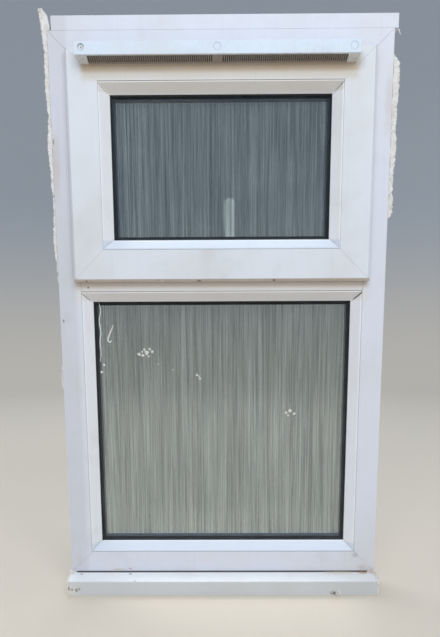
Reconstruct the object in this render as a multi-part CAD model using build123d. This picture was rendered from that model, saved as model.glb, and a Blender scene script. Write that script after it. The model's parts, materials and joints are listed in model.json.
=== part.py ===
from build123d import *
import os

# A white plastic casement window taken out of its wall: a top-hung opening sash over a fixed light,
# both double glazed and beaded from outside, on a stub sill, with a slotted vent canopy on the sash.
# Millimetres. The window stands upright on its sill: x to the right seen from outside, y into the room,
# z up. The origin is the centre of the sill's flat underside, and y = 0 is the frame's outer face.

# Overall sizes
frame_width = 600.0
frame_height = 990.0
frame_depth = 60.0
sill_height = 36.0
extension_height = 24.0
extension_slip = 6.5

# Extruded profile walls
outer_wall = 2.8
inner_wall = 2.0
corner_round = 1.6

# Frame and transom sections
frame_face = 41.0
leg_height = 20.0
leg_thickness = 12.0
transom_face = 27.0
transom_height = 547.0

# Opening sash section
sash_overlap = 10.0
cavity = 12.0
sash_face = 56.0
sash_proud = 17.5
flange_gap = 3.0
sash_bevel = 4.5
sash_bevel_depth = 5.5

# Glazing
pane_thickness = 4.0
pane_spacing = 16.0
gasket_thickness = 3.0
pane_clearance = 6.0
spacer_width = 18.0
spacer_inset = 0.5
bead_height = 18.0
bead_setback = 1.0
bead_flat = 2.4
bead_nose = 1.8
bead_wall = 1.5
foot_depth = 2.6
foot_height = 2.6
foot_setback = 6.0
groove_clearance = 0.4
gasket_reach = 2.5
gasket_grip = 6.0
packer_length = 60.0
packer_inset = 60.0
packer_margin = 2.0

# Seals between sash and frame
seal_clearance = 0.3
flange_seal_width = 6.0
flange_seal_inset = 2.0
leg_seal_width = 5.5

# Sill
sill_projection = 33.0
sill_drop = 7.0
sill_tail = 54.0
sill_nose_round = 2.5
sill_wall = 2.6
end_cap_thickness = 3.5
spigot_length = 9.0
fit_clearance = 0.3

# Friction stays
stay_axis_y = 10.0
stay_drop = 12.0
short_arm = 40.0
long_arm = 200.0
pivot_step = 30.0
arm_width = 16.0
arm_corner = 4.7
arm_thickness = 2.2
layer_gap = 0.6
track_thickness = 2.5
track_width = 20.0
track_overrun = 18.0
track_screw_offset = 5.5
track_screw_low = 30.0
track_screw_high = 60.0
sash_plate_width = 23.0
sash_plate_overrun = 45.0
plate_screw_low = 12.0
pivot_radius = 3.0
pivot_running = 0.05
open_pivot_clearance = 1.0

# Fasteners. Hidden screws, pins and their holes are drawn with a set number of flat sides.
screw_sides = 6
pin_sides = 8
pivot_sides = 12
screw_radius = 2.0
screw_head_radius = 3.6
screw_length = 16.0
screw_head_land = 0.3
screw_hole_clearance = 0.05

# Lock in the sash bottom rail
hardware_groove_width = 16.4
hardware_groove_depth = 6.0
faceplate_thickness = 1.8
faceplate_end_gap = 27.0
faceplate_screw_inset = 10.0
bar_thickness = 2.4
bar_width = 12.0
bar_overrun = 25.0
bar_gap = 0.6
lock_travel = 18.0
cam_inset = 70.0
cam_shank_radius = 3.0
cam_head_radius = 5.0
cam_head_height = 2.5
cam_reach = 7.0
keep_length = 46.0
keep_thickness = 2.0
keep_margin = 4.0
keep_screw_inset = 6.0
keep_lip_length = 16.0
keep_lip_height = 6.5
handle_offset = 16.0
backset = 25.0
gearbox_length = 64.0
gearbox_width = 12.0
gearbox_depth = 26.0
gearbox_corner = 3.0
pocket_clearance = 1.0
spindle_side = 7.0
spindle_bore = 5.6
handle_bolt_step = 21.5
handle_bolt_radius = 2.5
handle_bolt_head = 3.0
handle_bolt_sink = 2.0
handle_bolt_bite = 2.0
handle_base_length = 150.0
handle_base_height = 26.0
handle_base_depth = 11.5
handle_base_corner = 4.0
handle_base_edge = 2.0
hub_radius = 12.0
hub_depth = 17.0
lever_length = 112.0
lever_width = 19.0
lever_neck = 14.0
lever_thickness = 8.0
lever_stand = 3.0
lever_edge = 1.5
button_radius = 5.5
button_proud = 5.0
button_travel = 3.0
button_floor = 1.5

# Vent canopy outside and vent inside
canopy_left_margin = 23.0
canopy_right_margin = 34.0
canopy_top_gap = 2.0
canopy_depth = 22.0
canopy_face = 21.0
canopy_slope = 7.0
canopy_wall = 1.8
canopy_end_taper = 4.0
slot_pitch = 3.6
slot_width = 1.8
slot_inset = 19.0
slot_start = 16.0
canopy_screw_inset = 11.0
canopy_screw_rise = 1.0
canopy_screw_bite = 8.0
canopy_boss_side = 14.0
cap_radius = 6.0
cap_recess = 2.2
cap_thickness = 1.9
vent_inset = 40.5
vent_height = 20.0
vent_depth = 12.0
vent_drop = 32.0
vent_wall = 1.6
vent_edge = 1.0
vent_screw_inset = 7.0
vent_boss_side = 10.0
vent_slot_pitch = 25.0
vent_slot_width = 10.0
vent_slot_height = 7.0
vent_tab_width = 4.0
vent_tab_height = 2.4
vent_tab_proud = 3.0
vent_tab_gap = 1.0
shutter_thickness = 1.3
air_slot_height = 5.4
air_slot_inset = 16.0

# Fixing holes through the jambs
fixing_radius = 4.0
fixing_low = 150.0
fixing_high = 470.0

# Mastic left on the jambs: places below the frame's top, each with the distance it stands past the edge
mastic_front = 1.0
mastic_depth = 12.0
mastic_left = [
    (464, 0), (427, 2), (385, 5), (358, 7.5), (332, 7.4), (304, 4.6), (280, 5), (228, 7.3), (200, 9.2),
    (177, 9.8), (152, 7), (127, 7.8), (96, 9.4), (70, 10.1), (45, 8.1), (26, 8.8), (6, 11),
    (-10, 13), (-24, 14.6), (-36, 15.4),
]
mastic_left_top = [(-37, 9), (-34, 6), (-24, -1), (-10, -4), (-0.3, -5), (-0.3, 0)]
mastic_lump = [(628, 0), (620, 3.2), (607, 4.8), (586, 4.2), (568, 0)]
mastic_right = [
    (318, 0), (314, 5.6), (306, 9), (283, 9.9), (256, 8.4), (232, 9.7), (206, 12), (181, 11.6),
    (156, 10), (131, 10.7), (101, 13), (74, 12.9), (56, 12.6), (46, 7), (38, 0),
]

# Places worked out from the sizes above
half_width = frame_width / 2
frame_low = sill_height
frame_high = sill_height + frame_height
transom_low = frame_low + transom_height
transom_high = transom_low + transom_face
leg_front = frame_depth - leg_thickness
unit_thickness = 2 * pane_thickness + pane_spacing
glass_depth = leg_front - gasket_thickness - unit_thickness
bead_back = glass_depth - gasket_thickness
foot_place = bead_back - foot_setback - foot_height

sash_half = half_width - frame_face + sash_overlap
sash_low = transom_high - sash_overlap
sash_high = frame_high - frame_face + sash_overlap
sash_front = -sash_proud
sash_back = frame_depth - sash_proud
body_start = sash_overlap + cavity
sash_leg_front = sash_back - leg_thickness

outer_rect = (-half_width, frame_low, half_width, frame_high)
sash_rect = (-sash_half, sash_low, sash_half, sash_high)
light_rect = (-half_width + frame_face, frame_low + frame_face, half_width - frame_face, transom_low)
vent_rect = (-half_width + frame_face, transom_high, half_width - frame_face, frame_high - frame_face)
sash_glass_rect = (
    -sash_half + sash_face,
    sash_low + sash_face,
    sash_half - sash_face,
    sash_high - sash_face,
)

INWARD = {
    "left": Vector(1, 0, 0),
    "right": Vector(-1, 0, 0),
    "bottom": Vector(0, 0, 1),
    "top": Vector(0, 0, -1),
}
SIDES = ("top", "bottom", "left", "right")
far = 200.0


def block(x0, x1, y0, y1, z0, z1):
    """A box between two corners."""
    return Pos((x0 + x1) / 2, (y0 + y1) / 2, (z0 + z1) / 2) * Box(x1 - x0, y1 - y0, z1 - z0)


def rod(start, direction, radius, length):
    """A cylinder that starts at a point and runs along a direction."""
    plane = Plane(origin=start, z_dir=direction)
    return plane * Cylinder(radius, length, align=(Align.CENTER, Align.CENTER, Align.MIN))


def depth_plane(x, y, z):
    """A plane at a point, facing into the room."""
    return Plane(origin=(x, y, z), x_dir=(1, 0, 0), z_dir=(0, 1, 0))


def outline(points, rounds=None, chambers=()):
    """A flat profile from its corner points, with rounded corners and rectangular chambers cut out."""
    face = make_face(Polyline(*points, close=True))
    for corner, radius in (rounds or {}).items():
        face = fillet(face.vertices().sort_by_distance((corner[0], corner[1], 0))[0], radius)
    for x0, y0, x1, y1 in chambers:
        face -= Pos((x0 + x1) / 2, (y0 + y1) / 2) * Rectangle(x1 - x0, y1 - y0)
    return face


def side_frame(rect, side):
    """Start corner, direction and length of one side of an upright rectangle."""
    x0, z0, x1, z1 = rect
    start = {
        "bottom": Vector(x1, 0, z0),
        "top": Vector(x0, 0, z1),
        "left": Vector(x0, 0, z0),
        "right": Vector(x1, 0, z1),
    }[side]
    along = INWARD[side].cross(Vector(0, 1, 0))
    length = x1 - x0 if side in ("top", "bottom") else z1 - z0
    return start, along, length


def mitred_bar(face, rect, side):
    """Extrude a profile along one side of a rectangle and cut both ends at 45 degrees.

    The profile's x runs inward from the rectangle's edge and its y is depth."""
    start, along, length = side_frame(rect, side)
    inward = INWARD[side]
    bar = extrude(Plane(origin=start, x_dir=inward, z_dir=along) * face, amount=length)
    limits = face.bounding_box()
    reach = limits.max.X + 1
    under = min(limits.min.X, 0) - 1
    wedge = make_face(
        Polyline(
            start + along * under + inward * under,
            start + along * (length - under) + inward * under,
            start + along * (length - reach) + inward * reach,
            start + along * reach + inward * reach,
            close=True,
        )
    )
    return bar & extrude(wedge, amount=far, dir=(0, 1, 0), both=True)


def mitred_ring(face, rect):
    """Four mitred bars joined into one ring."""
    bars = [mitred_bar(face, rect, side) for side in SIDES]
    return bars[0].fuse(*bars[1:]).clean()


def plain_ring(rect, inset, width, y0, y1):
    """A rectangular ring of rectangular section, inset from the edges of a rectangle."""
    x0, z0, x1, z1 = rect
    ring = block(x0 + inset, x1 - inset, y0, y1, z0 + inset, z1 - inset)
    edge = inset + width
    return ring - block(x0 + edge, x1 - edge, y0 - 1, y1 + 1, z0 + edge, z1 - edge)


def plate_between(rect, inset, y0, y1):
    """A flat plate that stops a given distance inside a rectangle."""
    x0, z0, x1, z1 = rect
    return block(x0 + inset, x1 - inset, y0, y1, z0 + inset, z1 - inset)


def flat_sided_bar(start, direction, radius, length, sides=pin_sides):
    """A hidden pin or hole with flat sides, its corners on the radius."""
    return extrude(Plane(origin=start, z_dir=direction) * RegularPolygon(radius, sides), amount=length)


def countersunk_screw(head_centre, direction, length=screw_length, wide=0.0):
    """A countersunk screw: its flat head lies in the surface and its shank runs along the direction."""
    head_depth = screw_head_radius - screw_radius
    head_length = head_depth + screw_head_land
    along = Vector(*direction)
    head = flat_sided_bar(head_centre, direction, screw_head_radius + wide, head_length, screw_sides)
    tip = Vector(*head_centre) + along * head_length
    rim = [edge for edge in head.edges() if abs((edge.center() - tip).dot(along)) < screw_head_land / 2]
    shank = flat_sided_bar(head_centre, direction, screw_radius + wide, length, screw_sides)
    return chamfer(rim, head_depth) + shank


def screw_hole(head_centre, direction, length=screw_length):
    """The countersunk hole for a screw, wider than it by the hole clearance."""
    return countersunk_screw(head_centre, direction, length + 1, screw_hole_clearance)


def frame_section():
    """Outer frame: rebate open to the outside, inner leg, bead groove and three chambers."""
    groove_low = foot_place - groove_clearance
    groove_high = foot_place + foot_height + groove_clearance
    groove_floor = frame_face - foot_depth - groove_clearance
    leg_end = frame_face + leg_height
    points = [
        (0, 0),
        (frame_face, 0),
        (frame_face, groove_low),
        (groove_floor, groove_low),
        (groove_floor, groove_high),
        (frame_face, groove_high),
        (frame_face, leg_front),
        (leg_end, leg_front),
        (leg_end, frame_depth),
        (0, frame_depth),
    ]
    rounds = {(frame_face, 0): corner_round, (leg_end, frame_depth): corner_round}
    inner = groove_floor - outer_wall
    rear_start = leg_front + outer_wall
    chambers = [
        (outer_wall, outer_wall, inner, groove_high),
        (outer_wall, groove_high + inner_wall, frame_face - outer_wall, rear_start - inner_wall),
        (outer_wall, rear_start, leg_end - outer_wall, frame_depth - outer_wall),
    ]
    return outline(points, rounds, chambers)


def transom_section():
    """Transom: a rebate above and below, a leg each way, and the same bead grooves."""
    half = transom_face / 2
    leg_end = half + leg_height
    groove_low = foot_place - groove_clearance
    groove_high = foot_place + foot_height + groove_clearance
    floor = half - foot_depth - groove_clearance
    points = [
        (half, 0),
        (half, groove_low),
        (floor, groove_low),
        (floor, groove_high),
        (half, groove_high),
        (half, leg_front),
        (leg_end, leg_front),
        (leg_end, frame_depth),
    ]
    mirrored = [(-x, y) for x, y in reversed(points)]
    rounds = {
        (half, 0): corner_round,
        (-half, 0): corner_round,
        (leg_end, frame_depth): corner_round,
        (-leg_end, frame_depth): corner_round,
    }
    inner = floor - outer_wall
    wide = half - outer_wall
    rear_start = leg_front + outer_wall
    chambers = [
        (-inner, outer_wall, inner, groove_high),
        (-wide, groove_high + inner_wall, wide, rear_start - inner_wall),
        (-leg_end + outer_wall, rear_start, leg_end - outer_wall, frame_depth - outer_wall),
    ]
    return outline(points + mirrored, rounds, chambers)


def sash_section():
    """Opening sash: bevelled flange outside, hardware groove in its edge, glazing rebate and leg."""
    groove_low = stay_axis_y - hardware_groove_width / 2
    groove_high = stay_axis_y + hardware_groove_width / 2
    groove_floor = body_start + hardware_groove_depth
    flange_back = -flange_gap
    leg_end = sash_face + leg_height
    bead_low = sash_front + foot_place - groove_clearance
    bead_high = sash_front + foot_place + foot_height + groove_clearance
    bead_floor = sash_face - foot_depth - groove_clearance
    points = [
        (sash_bevel, sash_front),
        (sash_face, sash_front),
        (sash_face, bead_low),
        (bead_floor, bead_low),
        (bead_floor, bead_high),
        (sash_face, bead_high),
        (sash_face, sash_leg_front),
        (leg_end, sash_leg_front),
        (leg_end, sash_back),
        (body_start, sash_back),
        (body_start, groove_high),
        (groove_floor, groove_high),
        (groove_floor, groove_low),
        (body_start, groove_low),
        (body_start, flange_back),
        (0, flange_back),
        (0, sash_front + sash_bevel_depth),
    ]
    rounds = {(sash_bevel, sash_front): corner_round, (leg_end, sash_back): corner_round}
    front_inner = bead_floor - outer_wall
    rear_start = sash_leg_front + outer_wall
    chambers = [
        (sash_bevel + outer_wall, sash_front + outer_wall, body_start, flange_back - outer_wall),
        (body_start + inner_wall, sash_front + outer_wall, front_inner, flange_back - outer_wall),
        (groove_floor + inner_wall, flange_back, sash_face - outer_wall, rear_start - inner_wall),
        (body_start + outer_wall, rear_start, leg_end - outer_wall, sash_back - outer_wall),
    ]
    return outline(points, rounds, chambers)


def bead_section(front):
    """Snap-in glazing bead: sloped face, hollow middle and a foot for the groove in the rebate."""
    near = front + bead_setback
    back = front + bead_back
    edge = groove_clearance / 2
    foot_low = front + foot_place
    foot_high = foot_low + foot_height
    points = [
        (edge, near),
        (edge + bead_flat, near),
        (bead_height, back - bead_nose),
        (bead_height, back),
        (edge, back),
        (edge, foot_high),
        (-foot_depth, foot_high),
        (-foot_depth, foot_low),
        (edge, foot_low),
    ]
    face = outline(points)
    slope = (back - bead_nose - near) / (bead_height - edge - bead_flat)
    hollow_back = back - bead_wall
    hollow_low = near + 2 * bead_wall
    hollow_end = edge + bead_flat + (hollow_back - near) / slope - 3 * bead_wall
    hollow = make_face(
        Polyline(
            (edge + bead_wall, hollow_low),
            (edge + bead_wall + bead_flat, hollow_low),
            (hollow_end, hollow_back),
            (edge + bead_wall, hollow_back),
            close=True,
        )
    )
    return face - hollow


def gasket_section(seat, glass, lip_end):
    """Wedge gasket: full thickness between seat and glass, thinning to a lip at its visible edge."""
    grip = lip_end - gasket_grip - gasket_reach
    return outline(
        [
            (grip, seat),
            (lip_end - gasket_reach, seat),
            (lip_end, (seat + 2 * glass) / 3),
            (lip_end, glass),
            (grip, glass),
        ]
    )


# Outer frame
profile = frame_section()
frame_bars = {side: mitred_bar(profile, outer_rect, side) for side in SIDES}

# Transom, cut back at both ends to sit between the jambs
inner_half = half_width - frame_face
leg_half = inner_half - leg_height
transom_middle = (transom_low + transom_high) / 2
transom_plane = Plane(origin=(-inner_half, 0, transom_middle), x_dir=(0, 0, -1), z_dir=(1, 0, 0))
transom = extrude(transom_plane * transom_section(), amount=2 * inner_half)
for sign in (-1, 1):
    x_pair = sorted((sign * leg_half, sign * (inner_half + 1)))
    transom -= block(x_pair[0], x_pair[1], leg_front, frame_depth + 1, transom_low - far, transom_high + far)

# Opening sash
profile = sash_section()
sash_bars = {side: mitred_bar(profile, sash_rect, side) for side in SIDES}

# Head extension strip, slipped to the right on top of the frame
extension_low = frame_high
extension_high = frame_high + extension_height
extension_profile = outline(
    [(0, extension_low), (frame_depth, extension_low), (frame_depth, extension_high), (0, extension_high)],
    {(0, extension_high): corner_round},
    [
        (outer_wall, extension_low + outer_wall, frame_depth / 2 - 1, extension_high - outer_wall),
        (
            frame_depth / 2 + 1,
            extension_low + outer_wall,
            frame_depth - outer_wall,
            extension_high - outer_wall,
        ),
    ],
)
extension_plane = Plane(origin=(-half_width + extension_slip, 0, 0), x_dir=(0, 1, 0), z_dir=(1, 0, 0))
head_extension = extrude(extension_plane * extension_profile, amount=frame_width)

# Stub sill: flat underside, square nose, sloped top and level seat for the frame
nose_height = sill_height - sill_drop
sill_points = [
    (-sill_projection, 0),
    (sill_tail, 0),
    (sill_tail, sill_height),
    (0, sill_height),
    (-sill_projection, nose_height),
]
sill_split = (sill_tail - sill_projection) / 2
sill_hollows = [
    (-sill_projection + sill_wall, sill_wall, -inner_wall / 2, nose_height - sill_wall),
    (inner_wall / 2, sill_wall, sill_split, sill_height - sill_wall),
    (sill_split + inner_wall, sill_wall, sill_tail - sill_wall, sill_height - sill_wall),
]
sill_rounds = {(-sill_projection, nose_height): sill_nose_round}
sill_plane = Plane(origin=(-half_width, 0, 0), x_dir=(0, 1, 0), z_dir=(1, 0, 0))
sill = extrude(sill_plane * outline(sill_points, sill_rounds, sill_hollows), amount=frame_width)
cap_face = outline(sill_points, sill_rounds)
end_caps = []
for sign in (-1, 1):
    cap_plane = Plane(origin=(sign * half_width, 0, 0), x_dir=(0, 1, 0), z_dir=(1, 0, 0))
    cap = extrude(cap_plane * cap_face, amount=sign * end_cap_thickness)
    for y0, z0, y1, z1 in (sill_hollows[0], sill_hollows[2]):
        x_pair = sorted((sign * half_width, sign * (half_width - spigot_length)))
        gap = fit_clearance
        cap += block(x_pair[0], x_pair[1], y0 + gap, y1 - gap, z0 + gap, z1 - gap)
    end_caps.append(cap)

# Glazing, the same build in the fixed light and in the sash
glazing = {}
for name, rect, front in (("fixed", light_rect, 0.0), ("sash", sash_glass_rect, sash_front)):
    outer_face = front + glass_depth
    space_start = outer_face + pane_thickness
    space_end = space_start + pane_spacing
    inner_face = space_end + pane_thickness
    glazing[name + "_outer_pane"] = plate_between(rect, pane_clearance, outer_face, space_start)
    glazing[name + "_inner_pane"] = plate_between(rect, pane_clearance, space_end, inner_face)
    inset = pane_clearance + spacer_inset
    glazing[name + "_spacer_bar"] = plain_ring(rect, inset, spacer_width, space_start, space_end)
    bead = bead_section(front)
    for side in SIDES:
        glazing[f"{name}_bead_{side}"] = mitred_bar(bead, rect, side)
    outer_lip = bead_height + gasket_reach
    seat = front + bead_back
    glazing[name + "_outer_gasket"] = mitred_ring(gasket_section(seat, outer_face, outer_lip), rect)
    inner_lip = leg_height + gasket_reach
    seat = front + leg_front
    glazing[name + "_inner_gasket"] = mitred_ring(gasket_section(seat, inner_face, inner_lip), rect)
    x0, z0, x1, z1 = rect
    y0, y1 = front + bead_back + packer_margin, inner_face
    packers = []
    for start in (x0 + packer_inset, x1 - packer_inset - packer_length):
        for z in (z0, z1 - pane_clearance):
            packers.append(block(start, start + packer_length, y0, y1, z, z + pane_clearance))
    glazing[name + "_glazing_packers"] = packers

# Seals between sash and frame
flange_seal = plain_ring(
    sash_rect, flange_seal_inset, flange_seal_width, -flange_gap, -seal_clearance
)
leg_seal_inset = leg_height - 1 - leg_seal_width
leg_seal = plain_ring(vent_rect, leg_seal_inset, leg_seal_width, sash_back + seal_clearance, leg_front)

# Friction stays in the cavity at each side: track on the jamb, two arms, plate on the sash
rebate_x = half_width - frame_face
perimeter_x = rebate_x - cavity
sash_pivot_z = sash_high - body_start - stay_drop
frame_pivot_z = sash_pivot_z - short_arm
lower_sash_pivot_z = sash_pivot_z - pivot_step
lower_frame_pivot_z = lower_sash_pivot_z - long_arm
short_layer = track_thickness + layer_gap
long_layer = short_layer + arm_thickness + layer_gap
plate_layer = cavity - track_thickness
track_low = lower_frame_pivot_z - track_overrun
track_high = sash_pivot_z + track_overrun / 2
plate_low = lower_sash_pivot_z - sash_plate_overrun
plate_high = sash_pivot_z + stay_drop - 2


def layer(sign, start, thickness, y0, y1, z0, z1):
    """A flat plate in the cavity at one side, measured inward from the jamb's rebate floor."""
    xa = sign * (rebate_x - start)
    xb = sign * (rebate_x - start - thickness)
    return block(min(xa, xb), max(xa, xb), y0, y1, z0, z1)


def pivot_pin(sign, start, length, z):
    """A stay's pivot pin across the cavity, measured inward from the jamb's rebate floor."""
    foot = (sign * (rebate_x - start), stay_axis_y, z)
    return flat_sided_bar(foot, (-sign, 0, 0), pivot_radius, length, pivot_sides)


def pivot_hole(radius):
    """A pivot's hole, its flats on the radius so that the pin turns freely in it."""
    return RegularPolygon(radius, pivot_sides, major_radius=False)


def arm(sign, start, low_z, high_z, high_clearance):
    """A flat arm with clipped corners and a pivot hole at each end."""
    origin = (sign * (rebate_x - start), stay_axis_y, low_z)
    plane = Plane(origin=origin, x_dir=(0, 0, 1), z_dir=(-sign, 0, 0))
    step = high_z - low_z
    blank = Pos(step / 2, 0) * Rectangle(step + arm_width, arm_width)
    blank = chamfer(blank.vertices(), arm_corner)
    blank -= pivot_hole(pivot_radius + pivot_running)
    blank -= Pos(step, 0) * pivot_hole(pivot_radius + high_clearance)
    return extrude(plane * blank, amount=arm_thickness)


stays = {}
track_screws = []
plate_screws = []
track_screw_y = stay_axis_y + track_screw_offset
track_screw_z = (track_low + track_screw_low, track_high - track_screw_high)
plate_screw_z = (plate_low + plate_screw_low, lower_sash_pivot_z + pivot_step / 2)
for sign, side in ((-1, "left"), (1, "right")):
    y0 = stay_axis_y - track_width / 2
    track = layer(sign, 0, track_thickness, y0, y0 + track_width, track_low, track_high)
    rivet_start = track_thickness / 2
    for arm_layer, z in ((short_layer, frame_pivot_z), (long_layer, lower_frame_pivot_z)):
        track += pivot_pin(sign, rivet_start, arm_layer + arm_thickness - rivet_start, z)
    for z in track_screw_z:
        head = (sign * (rebate_x - track_thickness), track_screw_y, z)
        track -= screw_hole(head, (sign, 0, 0))
        frame_bars[side] -= screw_hole(head, (sign, 0, 0))
        track_screws.append(countersunk_screw(head, (sign, 0, 0)))
    stays["stay_track_" + side] = track
    stays["stay_short_arm_" + side] = arm(sign, short_layer, frame_pivot_z, sash_pivot_z, pivot_running)
    stays["stay_long_arm_" + side] = arm(
        sign, long_layer, lower_frame_pivot_z, lower_sash_pivot_z, open_pivot_clearance
    )
    y0 = stay_axis_y - sash_plate_width / 2
    plate = layer(sign, plate_layer, track_thickness, y0, y0 + sash_plate_width, plate_low, plate_high)
    plate += pivot_pin(sign, short_layer, plate_layer - short_layer + 1, sash_pivot_z)
    plate += pivot_pin(sign, long_layer, plate_layer - long_layer + 1, lower_sash_pivot_z)
    for z in plate_screw_z:
        head = (sign * (rebate_x - plate_layer), stay_axis_y, z)
        plate -= screw_hole(head, (-sign, 0, 0))
        sash_bars[side] -= screw_hole(head, (-sign, 0, 0))
        plate_screws.append(countersunk_screw(head, (-sign, 0, 0)))
    stays["stay_sash_plate_" + side] = plate

# Lock: faceplate, sliding bar with two cams, gearbox and keeps
groove_floor_z = sash_low + body_start + hardware_groove_depth
faceplate_low = sash_low + body_start
faceplate_high = faceplate_low + faceplate_thickness
bar_low = faceplate_high + bar_gap
bar_high = bar_low + bar_thickness
plate_half = hardware_groove_width / 2 - fit_clearance
faceplate_half = sash_half - body_start - faceplate_end_gap
cam_offset = faceplate_half - cam_inset
bar_half = cam_offset + bar_overrun
faceplate = block(
    -faceplate_half,
    faceplate_half,
    stay_axis_y - plate_half,
    stay_axis_y + plate_half,
    faceplate_low,
    faceplate_high,
)
bar_side = bar_width / 2
drive_bar = block(-bar_half, bar_half, stay_axis_y - bar_side, stay_axis_y + bar_side, bar_low, bar_high)
keeps = []
cam_low = faceplate_low - cam_reach
slot_half = cam_shank_radius + bar_gap
keep_y0 = stay_axis_y - cam_head_radius - keep_margin
keep_y1 = stay_axis_y + cam_head_radius + keep_margin
keep_top = transom_high + keep_thickness
for x in (-cam_offset, cam_offset):
    cam_foot = (x, stay_axis_y, cam_low)
    drive_bar += flat_sided_bar(cam_foot, (0, 0, 1), cam_shank_radius, bar_low - cam_low + 1)
    drive_bar += flat_sided_bar(cam_foot, (0, 0, 1), cam_head_radius, cam_head_height)
    slot_end = x + lock_travel
    faceplate -= block(
        x, slot_end, stay_axis_y - slot_half, stay_axis_y + slot_half, faceplate_low - 1, faceplate_high + 1
    )
    for centre in (x, slot_end):
        slot_foot = (centre, stay_axis_y, faceplate_low - 1)
        faceplate -= flat_sided_bar(slot_foot, (0, 0, 1), slot_half, faceplate_thickness + 2)
    keep = block(
        slot_end - keep_length / 2, slot_end + keep_length / 2, keep_y0, keep_y1, transom_high, keep_top
    )
    keep += block(
        slot_end - keep_lip_length / 2,
        slot_end + keep_lip_length / 2,
        keep_y0,
        keep_y0 + keep_thickness,
        keep_top - 1,
        keep_top + keep_lip_height,
    )
    for step in (-keep_length / 2 + keep_screw_inset, keep_length / 2 - keep_screw_inset):
        head = (slot_end + step, stay_axis_y, keep_top)
        keep -= screw_hole(head, (0, 0, -1))
        transom -= screw_hole(head, (0, 0, -1))
        track_screws.append(countersunk_screw(head, (0, 0, -1)))
    keeps.append(keep)
for x in (-faceplate_half + faceplate_screw_inset, faceplate_half - faceplate_screw_inset):
    head = (x, stay_axis_y, faceplate_low)
    faceplate -= screw_hole(head, (0, 0, 1))
    sash_bars["bottom"] -= screw_hole(head, (0, 0, 1))
    plate_screws.append(countersunk_screw(head, (0, 0, 1)))

# Gearbox in its routed pocket, with the spindle hole through the sash's room face
spindle_z = faceplate_low + backset
gearbox_low = bar_high + bar_gap
gearbox_high = gearbox_low + gearbox_depth
gearbox_half = gearbox_length / 2
box_side = gearbox_width / 2
gearbox = block(
    handle_offset - gearbox_half,
    handle_offset + gearbox_half,
    stay_axis_y - box_side,
    stay_axis_y + box_side,
    gearbox_low,
    gearbox_high,
)
gearbox = chamfer(gearbox.edges().filter_by(Axis.Y), gearbox_corner)
pocket_x = gearbox_half + pocket_clearance
pocket_y = box_side + pocket_clearance
sash_bars["bottom"] -= block(
    handle_offset - pocket_x,
    handle_offset + pocket_x,
    stay_axis_y - pocket_y,
    stay_axis_y + pocket_y,
    groove_floor_z - 1,
    gearbox_high + pocket_clearance,
)
spindle_front = stay_axis_y - box_side + 1
base_front = sash_back
base_back = sash_back + handle_base_depth
hub_front = base_back + fit_clearance
hub_back = hub_front + hub_depth
wide_bore = spindle_bore + pocket_clearance
gearbox -= flat_sided_bar((handle_offset, 0, spindle_z), (0, 1, 0), spindle_bore, far / 4)
sash_bars["bottom"] -= flat_sided_bar(
    (handle_offset, stay_axis_y, spindle_z), (0, 1, 0), wide_bore, sash_back - stay_axis_y + 1
)
spindle_length = hub_front + hub_depth / 2 - spindle_front
spindle = depth_plane(handle_offset, spindle_front, spindle_z) * Box(
    spindle_side, spindle_side, spindle_length, align=(Align.CENTER, Align.CENTER, Align.MIN)
)

# Handle: fixed base with two bolts, lever on the spindle, lock button in the hub
base_face = Rectangle(handle_base_length, handle_base_height)
base_face = chamfer(base_face.vertices(), handle_base_corner)
handle_base = depth_plane(handle_offset, base_front, spindle_z) * extrude(
    base_face, amount=handle_base_depth
)
handle_base = chamfer(handle_base.faces().sort_by(Axis.Y)[-1].edges(), handle_base_edge)
handle_base -= flat_sided_bar(
    (handle_offset, base_front - 1, spindle_z), (0, 1, 0), wide_bore, handle_base_depth + 2
)
handle_bolts = []
bolt_top = base_back - handle_bolt_sink
bolt_end = stay_axis_y - box_side + handle_bolt_bite
bolt_wide = handle_bolt_radius + screw_hole_clearance
for step in (-handle_bolt_step, handle_bolt_step):
    x = handle_offset + step
    inward = (0, -1, 0)
    head = (x, bolt_top, spindle_z)
    bolt = flat_sided_bar(head, inward, 2 * handle_bolt_radius, handle_bolt_head)
    handle_bolts.append(bolt + flat_sided_bar(head, inward, handle_bolt_radius, bolt_top - bolt_end))
    hole = flat_sided_bar(head, inward, bolt_wide, far / 4)
    seat = (x, base_back, spindle_z)
    seat_depth = handle_bolt_head + handle_bolt_sink
    handle_base -= hole
    handle_base -= flat_sided_bar(seat, inward, 2 * handle_bolt_radius + fit_clearance, seat_depth)
    gearbox -= hole
    sash_bars["bottom"] -= hole
lever_round = lever_width / 2
lever_tip = lever_length - lever_round
lever_rise = lever_length / 3
lever_face = make_face(
    Polyline(
        (-lever_neck / 2, 0),
        (lever_neck / 2, 0),
        (lever_width / 2, lever_tip),
        (-lever_width / 2, lever_tip),
        close=True,
    )
)
lever_face += Pos(0, lever_tip) * Circle(lever_round)
lever_side = outline(
    [
        (hub_back - lever_thickness, 0),
        (hub_back, 0),
        (hub_back + lever_stand, lever_rise),
        (hub_back + lever_stand, lever_length + 1),
        (hub_back + lever_stand - lever_thickness, lever_length + 1),
        (hub_back + lever_stand - lever_thickness, lever_rise),
    ]
)
front_plane = Plane(origin=(handle_offset, 0, spindle_z), x_dir=(1, 0, 0), z_dir=(0, -1, 0))
side_plane = Plane(origin=(handle_offset, 0, spindle_z), x_dir=(0, 1, 0), z_dir=(1, 0, 0))
lever = extrude(front_plane * lever_face, amount=-far) & extrude(
    side_plane * lever_side, amount=lever_width, both=True
)
outer_edges = [
    edge
    for edge in lever.edges()
    if edge.center().Y > hub_back - lever_thickness / 4 and edge.bounding_box().size.Z > 1
]
lever = chamfer(outer_edges, lever_edge)
lever += rod((handle_offset, hub_front, spindle_z), (0, 1, 0), hub_radius, hub_depth)
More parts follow.
